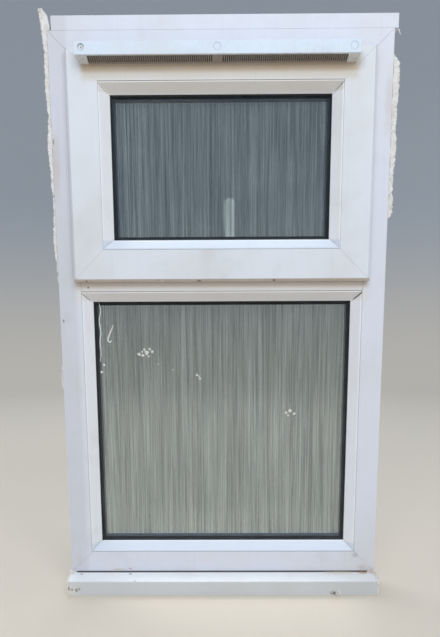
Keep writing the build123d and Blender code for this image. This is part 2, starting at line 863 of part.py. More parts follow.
square_hole = depth_plane(handle_offset, hub_front - 1, spindle_z) * Box(
    spindle_side + 2 * screw_hole_clearance,
    spindle_side + 2 * screw_hole_clearance,
    hub_depth / 2 + 1 + fit_clearance,
    align=(Align.CENTER, Align.CENTER, Align.MIN),
)
button_seat = hub_front + hub_depth / 2 + fit_clearance + button_floor
button_hole = rod(
    (handle_offset, button_seat, spindle_z), (0, 1, 0), button_radius + 2 * pivot_running, far / 4
)
lever = lever - square_hole - button_hole
button_low = button_seat + button_travel + fit_clearance
button_high = hub_back + button_proud
lock_button = rod((handle_offset, button_low, spindle_z), (0, 1, 0), button_radius, button_high - button_low)

# Vent canopy outside: front, top, slotted underside and tapered ends, open at the back
canopy_high = sash_high - canopy_top_gap
canopy_low = canopy_high - canopy_face
canopy_front = sash_front - canopy_depth
canopy_x0 = -sash_half + canopy_left_margin
canopy_x1 = sash_half - canopy_right_margin
canopy_middle = (canopy_x0 + canopy_x1) / 2


def canopy_solid(inset, back):
    """The canopy's outer form, or its hollow when inset by the wall: a side outline cut by a plan."""
    front_y = canopy_front + inset
    share = (back - front_y) / canopy_depth
    half = (canopy_x1 - canopy_x0) / 2 - inset
    taper = canopy_end_taper * share
    top = canopy_high - inset
    low = canopy_low + inset
    side = outline([(front_y, low), (back, low - canopy_slope * share), (back, top), (front_y, top)])
    side_plane = Plane(origin=(canopy_middle - half, 0, 0), x_dir=(0, 1, 0), z_dir=(1, 0, 0))
    plan = outline([(-half, front_y), (half, front_y), (half - taper, back), (-half + taper, back)])
    plan_plane = Plane(origin=(canopy_middle, 0, low - far / 2))
    return extrude(side_plane * side, amount=2 * half) & extrude(plan_plane * plan, amount=far)


canopy = canopy_solid(0, sash_front)
canopy = fillet(canopy.edges().filter_by(Axis.X).group_by(Axis.Y)[0], corner_round / 2)
canopy -= canopy_solid(canopy_wall, sash_front + 1)
slots = []
slotted_length = (canopy_x1 - canopy_x0 - slot_start) / 2 - slot_inset
for sign in (-1, 1):
    for i in range(int(slotted_length / slot_pitch)):
        x = canopy_middle + sign * (slot_start / 2 + slot_pitch * (i + 0.5))
        slots.append(
            block(
                x - slot_width / 2,
                x + slot_width / 2,
                canopy_front + 2 * canopy_wall,
                sash_front - 2 * canopy_wall,
                canopy_low - canopy_slope - 2,
                canopy_low + canopy_wall + 1,
            )
        )
canopy = canopy.cut(*slots)
canopy_screw_z = (canopy_high + canopy_low) / 2 + canopy_screw_rise
canopy_screw_x = (canopy_x0 + canopy_screw_inset, canopy_middle, canopy_x1 - canopy_screw_inset)
vent_screws = []
vent_caps = []
boss_front = canopy_front + canopy_wall / 2
boss_half = canopy_boss_side / 2
for x in canopy_screw_x:
    canopy += block(
        x - boss_half,
        x + boss_half,
        boss_front,
        sash_front,
        canopy_screw_z - boss_half,
        canopy_screw_z + boss_half,
    )
for i, x in enumerate(canopy_screw_x):
    mouth = (x, canopy_front, canopy_screw_z)
    canopy -= rod(mouth, (0, 1, 0), cap_radius + fit_clearance, cap_recess)
    head = (x, canopy_front + cap_recess, canopy_screw_z)
    length = canopy_depth + canopy_screw_bite
    canopy -= screw_hole(head, (0, 1, 0), length)
    sash_bars["top"] -= screw_hole(head, (0, 1, 0), length)
    vent_screws.append(countersunk_screw(head, (0, 1, 0), length))
    if i > 0:
        vent_caps.append(rod(head, (0, -1, 0), cap_radius, cap_thickness))

# Vent inside: open-backed body with slots, and a sliding shutter behind them
vent_high = sash_high - vent_drop
vent_low = vent_high - vent_height
vent_front = sash_back
vent_back = sash_back + vent_depth
vent_x0 = canopy_x0 + vent_inset
vent_x1 = canopy_x1 - vent_inset
vent_body = block(vent_x0, vent_x1, vent_front, vent_back, vent_low, vent_high)
vent_body = chamfer(vent_body.faces().sort_by(Axis.Y)[-1].edges(), vent_edge)
vent_body -= block(
    vent_x0 + vent_wall,
    vent_x1 - vent_wall,
    vent_front - 1,
    vent_back - vent_wall,
    vent_low + vent_wall,
    vent_high - vent_wall,
)
shutter_back = vent_back - vent_wall - fit_clearance
shutter_travel = vent_slot_pitch / 2
boss_half = vent_boss_side / 2
shutter_half = (vent_x1 - vent_x0) / 2 - vent_screw_inset - boss_half - fit_clearance - shutter_travel
vent_middle = (vent_low + vent_high) / 2
shutter_high = vent_high - vent_wall - fit_clearance
shutter_low = vent_low + vent_wall + fit_clearance
shutter = block(
    canopy_middle - shutter_half,
    canopy_middle + shutter_half,
    shutter_back - shutter_thickness,
    shutter_back,
    shutter_low,
    shutter_high,
)
vent_cuts = []
vent_slots = int(2 * (shutter_half - shutter_travel - vent_slot_width / 2) / vent_slot_pitch) + 1
for i in range(vent_slots):
    x = canopy_middle + (i - (vent_slots - 1) / 2) * vent_slot_pitch
    vent_cuts.append(
        block(
            x - vent_slot_width / 2,
            x + vent_slot_width / 2,
            shutter_back - shutter_thickness - 1,
            vent_back + 1,
            vent_middle - vent_slot_height / 2,
            vent_middle + vent_slot_height / 2,
        )
    )
tab_low = vent_middle + vent_slot_height / 2 + vent_tab_gap
tab_x0 = canopy_middle - (vent_tab_width + shutter_travel) / 2
tab_slot = block(
    tab_x0 - fit_clearance,
    tab_x0 + vent_tab_width + shutter_travel + fit_clearance,
    shutter_back,
    vent_back + 1,
    tab_low - fit_clearance,
    tab_low + vent_tab_height + fit_clearance,
)
vent_body = vent_body.cut(tab_slot, *vent_cuts)
shutter = shutter.cut(*vent_cuts) + block(
    tab_x0,
    tab_x0 + vent_tab_width,
    shutter_back - shutter_thickness,
    vent_back + vent_tab_proud,
    tab_low,
    tab_low + vent_tab_height,
)
for x in (vent_x0 + vent_screw_inset, vent_x1 - vent_screw_inset):
    head = (x, vent_back, vent_middle)
    vent_body += block(
        x - boss_half,
        x + boss_half,
        vent_front,
        vent_back - vent_wall / 2,
        vent_middle - boss_half,
        vent_middle + boss_half,
    )
    vent_body -= screw_hole(head, (0, -1, 0))
    sash_bars["top"] -= screw_hole(head, (0, -1, 0))
    vent_screws.append(countersunk_screw(head, (0, -1, 0)))

# Air slots through the sash top rail, between the canopy and the inner vent
outer_air_low = canopy_low - canopy_slope + fit_clearance
air_slots = (
    (sash_front - 1, sash_front + outer_wall + 2, outer_air_low),
    (-flange_gap - outer_wall - 1, 1, vent_middle),
    (sash_leg_front - inner_wall - 1, sash_back + 1, vent_middle - air_slot_height / 2),
)
for sign in (-1, 1):
    slot_far = (vent_x1 - vent_x0) / 2 - air_slot_inset
    x_pair = sorted((canopy_middle + sign * slot_start, canopy_middle + sign * slot_far))
    for y0, y1, low in air_slots:
        sash_bars["top"] -= block(x_pair[0], x_pair[1], y0, y1, low, low + air_slot_height)

# Fixing holes through the jambs, covered by the edge of the fixed light's glazing
for sign, side in ((-1, "left"), (1, "right")):
    for height in (fixing_low, fixing_high):
        frame_bars[side] -= rod(
            (sign * (half_width + 1), frame_depth / 2, frame_low + height),
            (-sign, 0, 0),
            fixing_radius,
            frame_face + 2,
        )


def mastic(sign, points):
    """A ragged strip of mastic on a jamb's outer side, from (drop, reach) points."""
    corners = [Vector(sign * (half_width + reach), mastic_front, frame_high - drop) for drop, reach in points]
    return extrude(make_face(Polyline(*corners, close=True)), amount=mastic_depth, dir=(0, 1, 0))


sealant_left = [mastic(-1, mastic_left + mastic_left_top), mastic(-1, mastic_lump)]
sealant_right = mastic(1, mastic_right)

parts = {
    "frame_head": frame_bars["top"],
    "frame_bottom_rail": frame_bars["bottom"],
    "frame_jamb_left": frame_bars["left"],
    "frame_jamb_right": frame_bars["right"],
    "transom": transom,
    "head_extension": head_extension,
    "sill": sill,
    "sill_end_caps": end_caps,
    "sealant_left": sealant_left,
    "sealant_right": sealant_right,
    "sash_top_rail": sash_bars["top"],
    "sash_bottom_rail": sash_bars["bottom"],
    "sash_stile_left": sash_bars["left"],
    "sash_stile_right": sash_bars["right"],
    "sash_flange_seal": flange_seal,
    "frame_weather_seal": leg_seal,
    "frame_hardware_screws": track_screws,
    "sash_hardware_screws": plate_screws,
    "lock_keeps": keeps,
    "espag_faceplate": faceplate,
    "espag_drive_bar": drive_bar,
    "espag_gearbox": gearbox,
    "handle_spindle": spindle,
    "handle_base": handle_base,
    "handle_screws": handle_bolts,
    "handle_lever": lever,
    "handle_lock_button": lock_button,
    "vent_canopy": canopy,
    "vent_canopy_caps": vent_caps,
    "vent_screws": vent_screws,
    "vent_inner_body": vent_body,
    "vent_shutter": shutter,
}
parts.update(glazing)
parts.update(stays)

os.makedirs("parts", exist_ok=True)
for node, shape in parts.items():
    solids = []
    for piece in shape if isinstance(shape, list) else [shape]:
        solids.extend(piece.solids())
    export_step(Compound(children=solids) if len(solids) > 1 else solids[0], f"parts/{node}.step")
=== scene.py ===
import bpy
import bmesh
import json
import math
from collections import namedtuple
from mathutils import Matrix, Vector, noise


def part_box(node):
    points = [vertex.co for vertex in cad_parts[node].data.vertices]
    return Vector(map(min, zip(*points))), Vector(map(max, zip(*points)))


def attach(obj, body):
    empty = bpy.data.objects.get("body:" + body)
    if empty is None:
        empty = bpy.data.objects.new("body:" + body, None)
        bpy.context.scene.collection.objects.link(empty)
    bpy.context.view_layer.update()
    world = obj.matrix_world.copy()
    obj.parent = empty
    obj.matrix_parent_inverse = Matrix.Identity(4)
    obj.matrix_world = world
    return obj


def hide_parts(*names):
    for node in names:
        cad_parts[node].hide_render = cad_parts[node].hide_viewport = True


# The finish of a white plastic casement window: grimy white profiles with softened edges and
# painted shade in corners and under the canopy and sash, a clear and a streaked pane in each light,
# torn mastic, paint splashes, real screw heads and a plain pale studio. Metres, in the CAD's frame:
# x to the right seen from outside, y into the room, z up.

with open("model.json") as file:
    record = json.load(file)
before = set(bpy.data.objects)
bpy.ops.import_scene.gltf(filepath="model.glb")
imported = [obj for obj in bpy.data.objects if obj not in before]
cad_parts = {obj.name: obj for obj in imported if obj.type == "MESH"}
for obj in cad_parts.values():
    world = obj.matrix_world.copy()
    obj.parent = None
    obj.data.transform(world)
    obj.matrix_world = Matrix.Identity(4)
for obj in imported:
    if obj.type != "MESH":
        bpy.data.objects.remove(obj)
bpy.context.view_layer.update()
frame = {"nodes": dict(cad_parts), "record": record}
CAD = frame["nodes"]
RECORD = frame["record"]
BODIES = RECORD["behaviour"]["bodies"]
BODY_OF = {node: body for body, members in BODIES.items() for node in members}
SLOT_OF = {part["node"]: part["material_slot"] for part in RECORD["subparts"]}
MM = 0.001

# Camera of the photograph, worked out from the window's own lines; angles in degrees
IMAGE_WIDTH = 440
IMAGE_HEIGHT = 637
CAMERA_PLACE = (0.0034, -1.1518, 0.5418)
CAMERA_PITCH = -9.493
CAMERA_YAW = -0.451
CAMERA_ROLL = -0.264
FOCAL_PIXELS = 612.5
CENTRE_PIXEL = (219.1, 416.2)
SENSOR = 36.0
NEAREST = 0.05
FARTHEST = 40

# Studio
FLOOR_RADIUS = 3.4
FLOOR_RINGS = (0, 1.0, 2.2, FLOOR_RADIUS)
WALL_ROUND = 1.6
WALL_ROUND_STEP = 6
WALL_TOP = 10.0
WALL_TINT = (0.0, 1.6)
STAGE_SEGMENTS = 96
FLOOR = (0.76, 0.67, 0.56)
WALL = (0.50, 0.52, 0.54)
SKY = (0.74, 0.85, 1.0)
SKY_STRENGTH = 0.52
MAIN_LIGHT = {"place": (0.3, -2.7, 2.9), "aim": (0, 0, 0.55), "size": (3.2, 1.5), "watts": 74}
REAR_LIGHT = {"place": (-0.7, 2.0, 3.7), "aim": (0, 0, 0.55), "size": (2.4, 1.6), "watts": 45}
LIGHT_COLOUR = (0.93, 0.97, 1.0)

# Colours of the parts, linear
WHITE_FRAME = (0.76, 0.77, 0.84)
WHITE_SASH = (0.79, 0.81, 0.85)
# Painted light: the beads are given a whiter white than the sash's same plastic
LIT_BEAD_WHITE = (0.90, 0.90, 0.93)
# Painted bluish sky light for the bottom beads
BEAD_SKY_LIGHT = (0.68, 0.74, 0.82)
WHITE_SILL = (0.89, 0.89, 0.90)
# Painted shade for the front face of the sill's nose
NOSE_SHADE = (0.44, 0.46, 0.46)
WHITE_VENT = (0.735, 0.83, 0.95)
WHITE_HANDLE = (0.82, 0.83, 0.85)
GREY_BUTTON = (0.35, 0.36, 0.38)
MASTIC_DULL = (0.78, 0.74, 0.69)
MASTIC_CLEAN = (0.91, 0.89, 0.88)
MASTIC_EDGE = (0.55, 0.38, 0.27)
MASTIC_DUST = (0.30, 0.24, 0.16)
PAINT = (0.80, 0.80, 0.76)
PAINT_AGED = (0.62, 0.60, 0.52)
RUBBER = (0.010, 0.012, 0.017)
RUBBER_DUST = (0.16, 0.15, 0.13)
GLASS_TINT = (0.84, 0.88, 0.88)
GLASS_IOR = 1.52
# Shades of the streaked pane, darker than the glass itself: painted shade for dim light through it
STREAK_DARK = (0.24, 0.275, 0.28)
STREAK_PALE = (0.70, 0.74, 0.73)
# Spacer shades, their blue a painted sky reflection
SPACER_DARK = (0.02, 0.032, 0.055)
SPACER_PALE = (0.07, 0.10, 0.15)
PACKER_DARK = (0.05, 0.13, 0.32)
PACKER_PALE = (0.08, 0.18, 0.40)
STEEL = (0.56, 0.56, 0.55)
ZINC = (0.60, 0.59, 0.56)
TARNISH = (0.20, 0.18, 0.15)

# Colours of wear and dirt, and of painted shade, linear
AGED = (0.66, 0.64, 0.60)
GRIME_AND_SHADE = (0.16, 0.13, 0.10)
JOINT = (0.045, 0.04, 0.035)
SLOT_DIRT_AND_SHADE = (0.022, 0.015, 0.010)
COMB_DIRT_AND_SHADE = (0.20, 0.15, 0.11)
TAN_AND_SHADE = (0.52, 0.33, 0.19)
RIM_SHADE_TAN = (0.50, 0.29, 0.14)
PEACH_SHADE = (0.80, 0.66, 0.52)
SAND_AND_SHADE = (0.62, 0.52, 0.38)
RUST = (0.42, 0.22, 0.08)
CREAM = (0.80, 0.76, 0.68)

# How strongly wear, dirt and painted shade show, from 0 to 1
AGEING = 0.42
BEAD_AGEING = 0.15
RUN_MARKS = 0.08
SMEARS = 0.08
SPECKS = 0.55
LEFT_JAMB_SHADE = 0.12
FRAME_WELDS = 0.20
SASH_WELDS = 0.16
SILL_JOINT_DIRT = 0.92
CANOPY_RIM_DIRT_AND_SHADE = 0.95
CANOPY_BACK_SHADE = 0.97
CANOPY_COMB_DIRT_AND_SHADE = 0.78
CANOPY_DUST_AND_SHADE = 0.40
CANOPY_SEAT_GRIME = 0.45
SASH_TOP_SHADE = 0.58
SASH_FOOT_SHADE = 0.60
BEAD_SKY_LIGHT_SHARE = 0.8
BEAD_RIM_DIRT = 0.62
BEAD_WELDS = 0.30
NOSE_SHADE_SHARE = 0.50
SILL_FOOT_SHARE = 0.7
SILL_END_SHARE = 0.85

# Spans over which a tint rises or falls, measured from an edge
OUTSIDE = (1 * MM, 3 * MM)
INDOORS = (0.0, 5 * MM)
RIGHT_HALF = (0.0, 1 * MM)
SASH_FRONT = (1 * MM, 2 * MM)
SASH_FOOT = (3.6 * MM, 5 * MM)
SASH_TOP = (-6 * MM, 8 * MM)
UNDER_CANOPY = (-17 * MM, -8 * MM)
CANOPY_COMB = (-1 * MM, 0.5 * MM)
CANOPY_ROOF = (-1.5 * MM, -1 * MM)
CANOPY_FLOOR = (0.1 * MM, 0.5 * MM)
CANOPY_SKIN = (0.9 * MM, 1.4 * MM)
CANOPY_SUNK = (0.4 * MM, 0.9 * MM)
BEAD_TOP = (-20 * MM, -14 * MM)
BEAD_TOP_CORNER = (-19 * MM, -12 * MM)
BEAD_FOOT = (14 * MM, 20 * MM)
SILL_JOINT_TOP = (-0.9 * MM, -0.4 * MM)
SILL_NOSE = (0.6 * MM, 1.6 * MM)
SILL_FOOT = (1 * MM, 2.2 * MM)
MASTIC_SEAM = (0.5 * MM, 4 * MM)
MASTIC_RIM = (8 * MM, 12 * MM)

# Widths of lines and soft ends, the solid share of a line, the stretch of the black joint on the
# sill, and how far and how finely corners are shaded
WELD_LINE = 1.0 * MM
BEAD_LINE = 0.9 * MM
DIRTY_LINE = 1.3 * MM
WIDE_LINE = 2.4 * MM
BEAD_RIM = 1.0 * MM
LINE_CORE = 0.4
RIM_CORE = 0.5
JAMB_FADE = 12 * MM
SILL_JOINT = (-288 * MM, 287 * MM)
SILL_JOINT_FADE = 5 * MM
SHADED_CORNER = 3 * MM
CORNER_SAMPLES = 8

# Canopy: how much its underside slopes, how far dirt stays from its ends and faces, and the grimy
# screw seat, measured from its left, front and top
CANOPY_SLOPE = 7 * MM
CANOPY_ENDS = 20 * MM
CANOPY_BACK_ENDS = 8 * MM
CANOPY_BACK_EDGES = 3 * MM
CANOPY_COMB_FRONT = 3 * MM
CANOPY_THIN = 0.2 * MM
CANOPY_SEAT = (11 * MM, 2 * MM, -9.5 * MM)
CANOPY_SEAT_RADIUS = 9 * MM

# Stains: noise cells, wobble and edges by the radius, a factor for the seed, and how far a seed
# shifts any noise along x, y and z
STAIN_CELLS = 3.0
STAIN_WOBBLE = 0.8
STAIN_FULL = 0.55
STAIN_CLEAR = 1.25
STAIN_SEED = 9
SEED_SHIFT = (1.0, 0.7, 1.3)

# Stretches of a noise
RUNS_DOWN = (1, 1, 0.04)
LEVEL_SCRATCHES = (0.08, 1, 1)
FINE_STREAKS = (1, 1, 0.010)
BROAD_STREAKS = (1, 1, 0.015)
BRUSHED_BAR = (0.05, 1, 0.05)
BRUSHED_UPRIGHT = (1, 1, 0.03)
BRUSHED_LEVEL = (0.03, 1, 1)

# Streaked panes: the grid, and the width, height, share and seed shift of the broad and of the
# narrow waves
COLUMN = 0.65 * MM
ROW = 18 * MM
WAVE_DEPTH = 0.42 * MM
WAVE_MIDDLE = 0.5
WAVES = ((3.4 * MM, 0.11, 0.6, 0), (1.9 * MM, 0.07, 0.4, 7))

# Torn mastic: noise cells a metre along x, y and z, and depths in millimetres
MASTIC_VOXEL = 0.9 * MM
LUMP_CELLS = (150, 150, 110)
LUMP_DEPTH = 0.9
GRAIN_CELLS = (620, 620, 560)
GRAIN_DEPTH = 0.7
SHRINK = 0.5
NOTCH_CELLS = (0, 60, 75)
CHIP_CELLS = (0, 130, 300)
CHIP_SEED = 5
BITE_DEPTH = 3.4
BITE_RUN = 6 * MM

# Screws: sizes as shares of the head's radius, and in metres
SCREW_SPOKES = 32
CROSS_ARM = 0.55
CROSS_HALF = 0.17
CROSS_DEPTH = 0.35
CROSS_FLOOR = 0.5
HEAD_FLAT = 0.9
HEAD_ROUND = 0.12
TIP_SHARE = 0.2
COUNTERSUNK_LIP = 0.3 * MM
BOLT_HEAD = 3.0 * MM
LEVEL_BAND = 0.05 * MM
SCREW_WELD = 0.0005 * MM

# Splashes and strands
SPLASH_SPOKES = 18
SPLASH_RINGS = 4
SPLASH_RAGGED = 0.55
SPLASH_CELLS = 1.7
PAINT_THICK = 0.6 * MM
CRUMB_THICK = 1.2 * MM
STRAND_SPOKES = 8
STRAND_STEPS = 8
STRAND_TIP = 0.25
STRAND_TRIM = 0.08
STRAND_UNEVEN = 0.5
STRAND_CELLS = 0.45
NOSE_GAP = 0.6

# CAD meshes: how near points join, what counts as flat and as a sharp edge, and how edges round
WELD = 0.002 * MM
FLAT_DEGREES = 0.5
SHARP_DEGREES = 35
ROUND_SEGMENTS = 2

Ring = namedtuple("Ring", "half bottom top")


def in_mm(*values):
    """A point given in millimetres."""
    return Vector(values) * MM


def ring_of(node):
    """Half width, lowest z and highest z of the mitred ring that a right-hand bar belongs to."""
    low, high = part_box(node)
    return Ring(high.x, low.z, high.z)


FRAME_RING = ring_of("frame_jamb_right")
SASH_RING = ring_of("sash_stile_right")
FIXED_RING = ring_of("fixed_bead_right")
SASH_BEAD_RING = ring_of("sash_bead_right")
SILL_LOW, SILL_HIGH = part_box("sill")
SASH_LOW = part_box("sash_bottom_rail")[0]
TRANSOM_LOW, TRANSOM_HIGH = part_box("transom")
CANOPY_LOW, CANOPY_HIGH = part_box("vent_canopy")
FIXED_GLASS_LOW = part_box("fixed_outer_pane")[0]

# Painted warm shade on the outside of the transom under the sash's overhang, and a faint painted
# shadow line right under the sash, up to its top: lower edge, soft end, tint and share
TRANSOM_SHADE_BANDS = [
    (TRANSOM_LOW.z, 1 * MM, CREAM, 0.50),
    (SASH_LOW.z - 10 * MM, 2.5 * MM, PEACH_SHADE, 0.48),
    (SASH_LOW.z - 3 * MM, 1 * MM, SLOT_DIRT_AND_SHADE, 0.10),
]

# Stains: place and radius in millimetres, tint, share and stretch
FRAME_STAINS = [
    ((-294.2, 0, 529.9), 4, JOINT, 0.8, (1.6, 1, 0.8)),
    ((-297.9, 0, 844.2), 7, JOINT, 0.75, (3.2, 1, 0.8)),
    ((-183.6, 0, 42.1), 5, RUST, 0.45, (0.8, 1, 1.6)),
    ((-246, 0, 590.5), 3, JOINT, 0.95, (1, 1, 1)),
    ((-205, 0, 40.5), 9, SAND_AND_SHADE, 0.5, (0.4, 1, 2)),
    ((262, 0, 70), 10, GRIME_AND_SHADE, 0.3, (1, 1, 1)),
    ((277, 0, 44), 15, RUST, 0.22, (0.9, 1, 1.3)),
    ((-285, 0, 60), 20, SAND_AND_SHADE, 0.2, (1.5, 1, 0.8)),
    ((-296, 0, 800), 60, TAN_AND_SHADE, 0.28, (4, 1, 0.7)),
    ((296, 0, 905), 60, TAN_AND_SHADE, 0.22, (4, 1, 0.7)),
]
SASH_STAINS = [
    ((-113.0, -13, 602.2), 4.0, JOINT, 0.9, (0.7, 0.5, 1.2)),
    ((-41.0, -13, 600.8), 4.0, JOINT, 0.8, (0.6, 0.5, 1.2)),
    ((95.1, -13, 601.8), 3.6, JOINT, 0.9, (0.8, 0.5, 1.2)),
    ((-245.6, -13, 600.5), 3.4, JOINT, 0.8, (1, 0.5, 1)),
    ((-111.0, -13, 601.0), 7.0, CREAM, 0.7, (0.7, 0.5, 1.4)),
    ((241.5, -17.5, 968), 16, GRIME_AND_SHADE, 0.20, (1.3, 1, 0.7)),
]
SILL_STAINS = [
    ((277, -4, 35.0), 12, RUST, 0.65, (0.6, 1.4, 2)),
    ((230, -4, 35), 20, SAND_AND_SHADE, 0.50, (0.4, 1.6, 2)),
    ((-279.6, -7.9, 34.3), 5, RUST, 0.60, (1, 1, 1)),
    ((-182.6, -8.1, 34.3), 5, GRIME_AND_SHADE, 0.55, (0.8, 1, 1)),
    ((-170.6, -30, 29.6), 3, GRIME_AND_SHADE, 0.55, (1, 1, 1)),
    ((-294, -33, 9), 22, CREAM, 0.80, (1, 1, 0.8)),
    ((-299.5, -33, 15), 5, GRIME_AND_SHADE, 0.75, (1.5, 1, 0.7)),
    ((-293.5, -33, 13), 5, GRIME_AND_SHADE, 0.70, (1.2, 1, 1.0)),
    ((-285.0, -33, 12), 6, GRIME_AND_SHADE, 0.75, (1.3, 1, 0.8)),
    ((-279.5, -33, 14), 4, GRIME_AND_SHADE, 0.60, (1.0, 1, 0.8)),
    ((216, -33, 5.5), 9, SLOT_DIRT_AND_SHADE, 0.75, (0.7, 1, 1.6)),
]


class Look:
    """One material, with short calls that add and join its shader nodes."""

    def __init__(self, name):
        self.material = bpy.data.materials.new(name)
        self.material.use_nodes = True
        self.tree = self.material.node_tree
        self.tree.nodes.clear()
        output = self.node("OutputMaterial")
        self.shader = self.node("BsdfPrincipled")
        self.tree.links.new(self.shader.outputs["BSDF"], output.inputs["Surface"])
        self.place = self.node("TexCoord").outputs["Object"]
        self.parts = None

    def node(self, kind, **settings):
        """A new shader node, with some of its properties set."""
        node = self.tree.nodes.new("ShaderNode" + kind)
        for name, value in settings.items():
            setattr(node, name, value)
        return node

    def feed(self, socket, value):
        """Set a socket to a number or colour, or join it to another socket."""
        if isinstance(value, bpy.types.NodeSocket):
            self.tree.links.new(value, socket)
        elif isinstance(value, tuple) and len(value) == 3 and len(socket.default_value) == 4:
            socket.default_value = (*value, 1.0)
        else:
            socket.default_value = value

    def set(self, **values):
        """Set the shader's own sockets, named with underscores."""
        for name, value in values.items():
            self.feed(self.shader.inputs[name.replace("_", " ")], value)

    def calc(self, operation, a, b=0.0, clamp=False):
        """What an operation makes of one or two numbers."""
        node = self.node("Math", operation=operation, use_clamp=clamp)
        self.feed(node.inputs[0], a)
        self.feed(node.inputs[1], b)
        return node.outputs[0]

    def vector(self, operation, a, b=(0, 0, 0)):
        """What an operation makes of one or two vectors: the outputs of its node."""
        node = self.node("VectorMath", operation=operation)
        self.feed(node.inputs[0], a)
        self.feed(node.inputs[1], b)
        return node.outputs

    def times(self, first, *others):
        """The product of masks and shares."""
        for other in others:
            first = self.calc("MULTIPLY", first, other)
        return first

    def axis(self, name):
        """The X, Y or Z of the place on the object, in metres."""
        if self.parts is None:
            self.parts = self.node("SeparateXYZ")
            self.feed(self.parts.inputs[0], self.place)
        return self.parts.outputs[name]

    def aside(self):
        """Distance to the left or right of the window's middle."""
        return self.calc("ABSOLUTE", self.axis("X"))

    def noise(self, scale, detail=3.0, rough=0.55, stretch=(1, 1, 1), seed=0.0):
        """Noise of so many cells a metre, from 0 to 1."""
        mapping = self.node("Mapping")
        self.feed(mapping.inputs["Vector"], self.place)
        mapping.inputs["Scale"].default_value = stretch
        mapping.inputs["Location"].default_value = [seed * shift for shift in SEED_SHIFT]
        node = self.node("TexNoise")
        self.feed(node.inputs["Vector"], mapping.outputs[0])
        node.inputs["Scale"].default_value = scale
        node.inputs["Detail"].default_value = detail
        node.inputs["Roughness"].default_value = rough
        return node.outputs["Fac"]

    def step(self, value, start, end, low=0.0, high=1.0):
        """A smooth step of a value, from low at start to high at end."""
        node = self.node("MapRange", interpolation_type="SMOOTHSTEP")
        for socket, number in zip(node.inputs[:5], (value, start, end, low, high)):
            self.feed(socket, number)
        return node.outputs[0]

    def fall(self, value, start, end):
        """A smooth step of a value, from 1 at start to 0 at end."""
        return self.step(value, start, end, 1.0, 0.0)

    def patches(self, start, end, low=0.0, high=1.0, **noise_settings):
        """Patches where a noise goes from one value to another."""
        return self.step(self.noise(**noise_settings), start, end, low, high)

    def rise_past(self, axis, edge, span):
        """0 to 1 along an axis, over a span measured from an edge."""
        return self.step(self.axis(axis), edge + span[0], edge + span[1])

    def fall_past(self, axis, edge, span):
        """1 to 0 along an axis, over a span measured from an edge."""
        return self.fall(self.axis(axis), edge + span[0], edge + span[1])

    def between(self, axis, start, end, soft):
        """1 between two places along an axis, with soft ends."""
        rise = self.step(self.axis(axis), start - soft, start)
        return self.times(rise, self.fall(self.axis(axis), end, end + soft))

    def mix(self, share, a, b):
        """Two colours mixed, from a at 0 to b at 1."""
        node = self.node("Mix", data_type="RGBA")
        self.feed(node.inputs["Factor"], share)
        self.feed(node.inputs[6], a)
        self.feed(node.inputs[7], b)
        return node.outputs[2]

    def tint(self, colour, tint, *shares):
        """A colour with a tint mixed in by the product of masks and shares."""
        return self.mix(self.times(*shares), colour, tint)

    def near(self, point, radius, stretch=(1, 1, 1)):
        """1 at a point, falling to 0 at a radius, with a ragged edge."""
        away = self.vector("SUBTRACT", self.place, point)["Vector"]
        scaled = self.vector("MULTIPLY", away, stretch)["Vector"]
        length = self.vector("LENGTH", scaled)["Value"]
        wobble = self.noise(STAIN_CELLS / radius, 4.0, 0.6, seed=point[0] * STAIN_SEED)
        distance = self.calc("ADD", length, self.times(wobble, STAIN_WOBBLE * radius))
        return self.fall(distance, STAIN_FULL * radius, STAIN_CLEAR * radius)

    def bump(self, height, distance, strength=1.0):
        """Roughen the surface by a height from 0 to 1."""
        node = self.node("Bump")
        node.inputs["Strength"].default_value = strength
        node.inputs["Distance"].default_value = distance
        self.feed(node.inputs["Height"], height)
        self.feed(self.shader.inputs["Normal"], node.outputs[0])

    def corners(self, distance):
        """1 deep in a corner or joint, 0 in the open."""
        node = self.node("AmbientOcclusion", samples=CORNER_SAMPLES)
        node.inputs["Distance"].default_value = distance
        return self.calc("SUBTRACT", 1.0, node.outputs["AO"])

    def ring_distances(self, ring):
        """Distance in from a ring's upright edges, and in from its level edges."""
        across = self.calc("SUBTRACT", ring.half, self.aside())
        up = self.calc("SUBTRACT", self.axis("Z"), ring.bottom)
        down = self.calc("SUBTRACT", ring.top, self.axis("Z"))
        return across, self.calc("MINIMUM", up, down)

    def mitre(self, ring, width):
        """1 on the diagonal joints of a ring of four mitred bars."""
        across, inward = self.ring_distances(ring)
        gap = self.calc("ABSOLUTE", self.calc("SUBTRACT", across, inward))
        return self.fall(gap, LINE_CORE * width, width)

    def rim(self, ring, width):
        """1 on the outer edge of a ring."""
        across, inward = self.ring_distances(ring)
        return self.fall(self.calc("MINIMUM", across, inward), RIM_CORE * width, width)


def weathered(look, clean, ageing=AGEING):
    """A clean colour with aged patches, run marks, smears and specks."""
    patches = look.patches(0.42, 0.75, scale=6.0)
    colour = look.tint(clean, AGED, patches, ageing)
    runs = look.patches(0.54, 0.80, scale=150.0, detail=4.0, rough=0.6, stretch=RUNS_DOWN, seed=3.0)
    colour = look.tint(colour, GRIME_AND_SHADE, runs, RUN_MARKS)
    smears = look.patches(0.53, 0.78, scale=18.0, rough=0.5, seed=5.0)
    colour = look.tint(colour, GRIME_AND_SHADE, smears, SMEARS)
    specks = look.patches(0.70, 0.76, scale=520.0, detail=2.0, rough=0.5, seed=9.0)
    patchy = look.patches(0.45, 0.65, scale=22.0, detail=2.0, seed=11.0)
    return look.tint(colour, GRIME_AND_SHADE, specks, patchy, SPECKS)


def stained(look, colour, stains):
    """Adds round stains from a table of them."""
    for point, radius, tint, share, stretch in stains:
        mark = look.near(in_mm(*point), radius * MM, stretch)
        colour = look.tint(colour, tint, mark, share)
    return colour


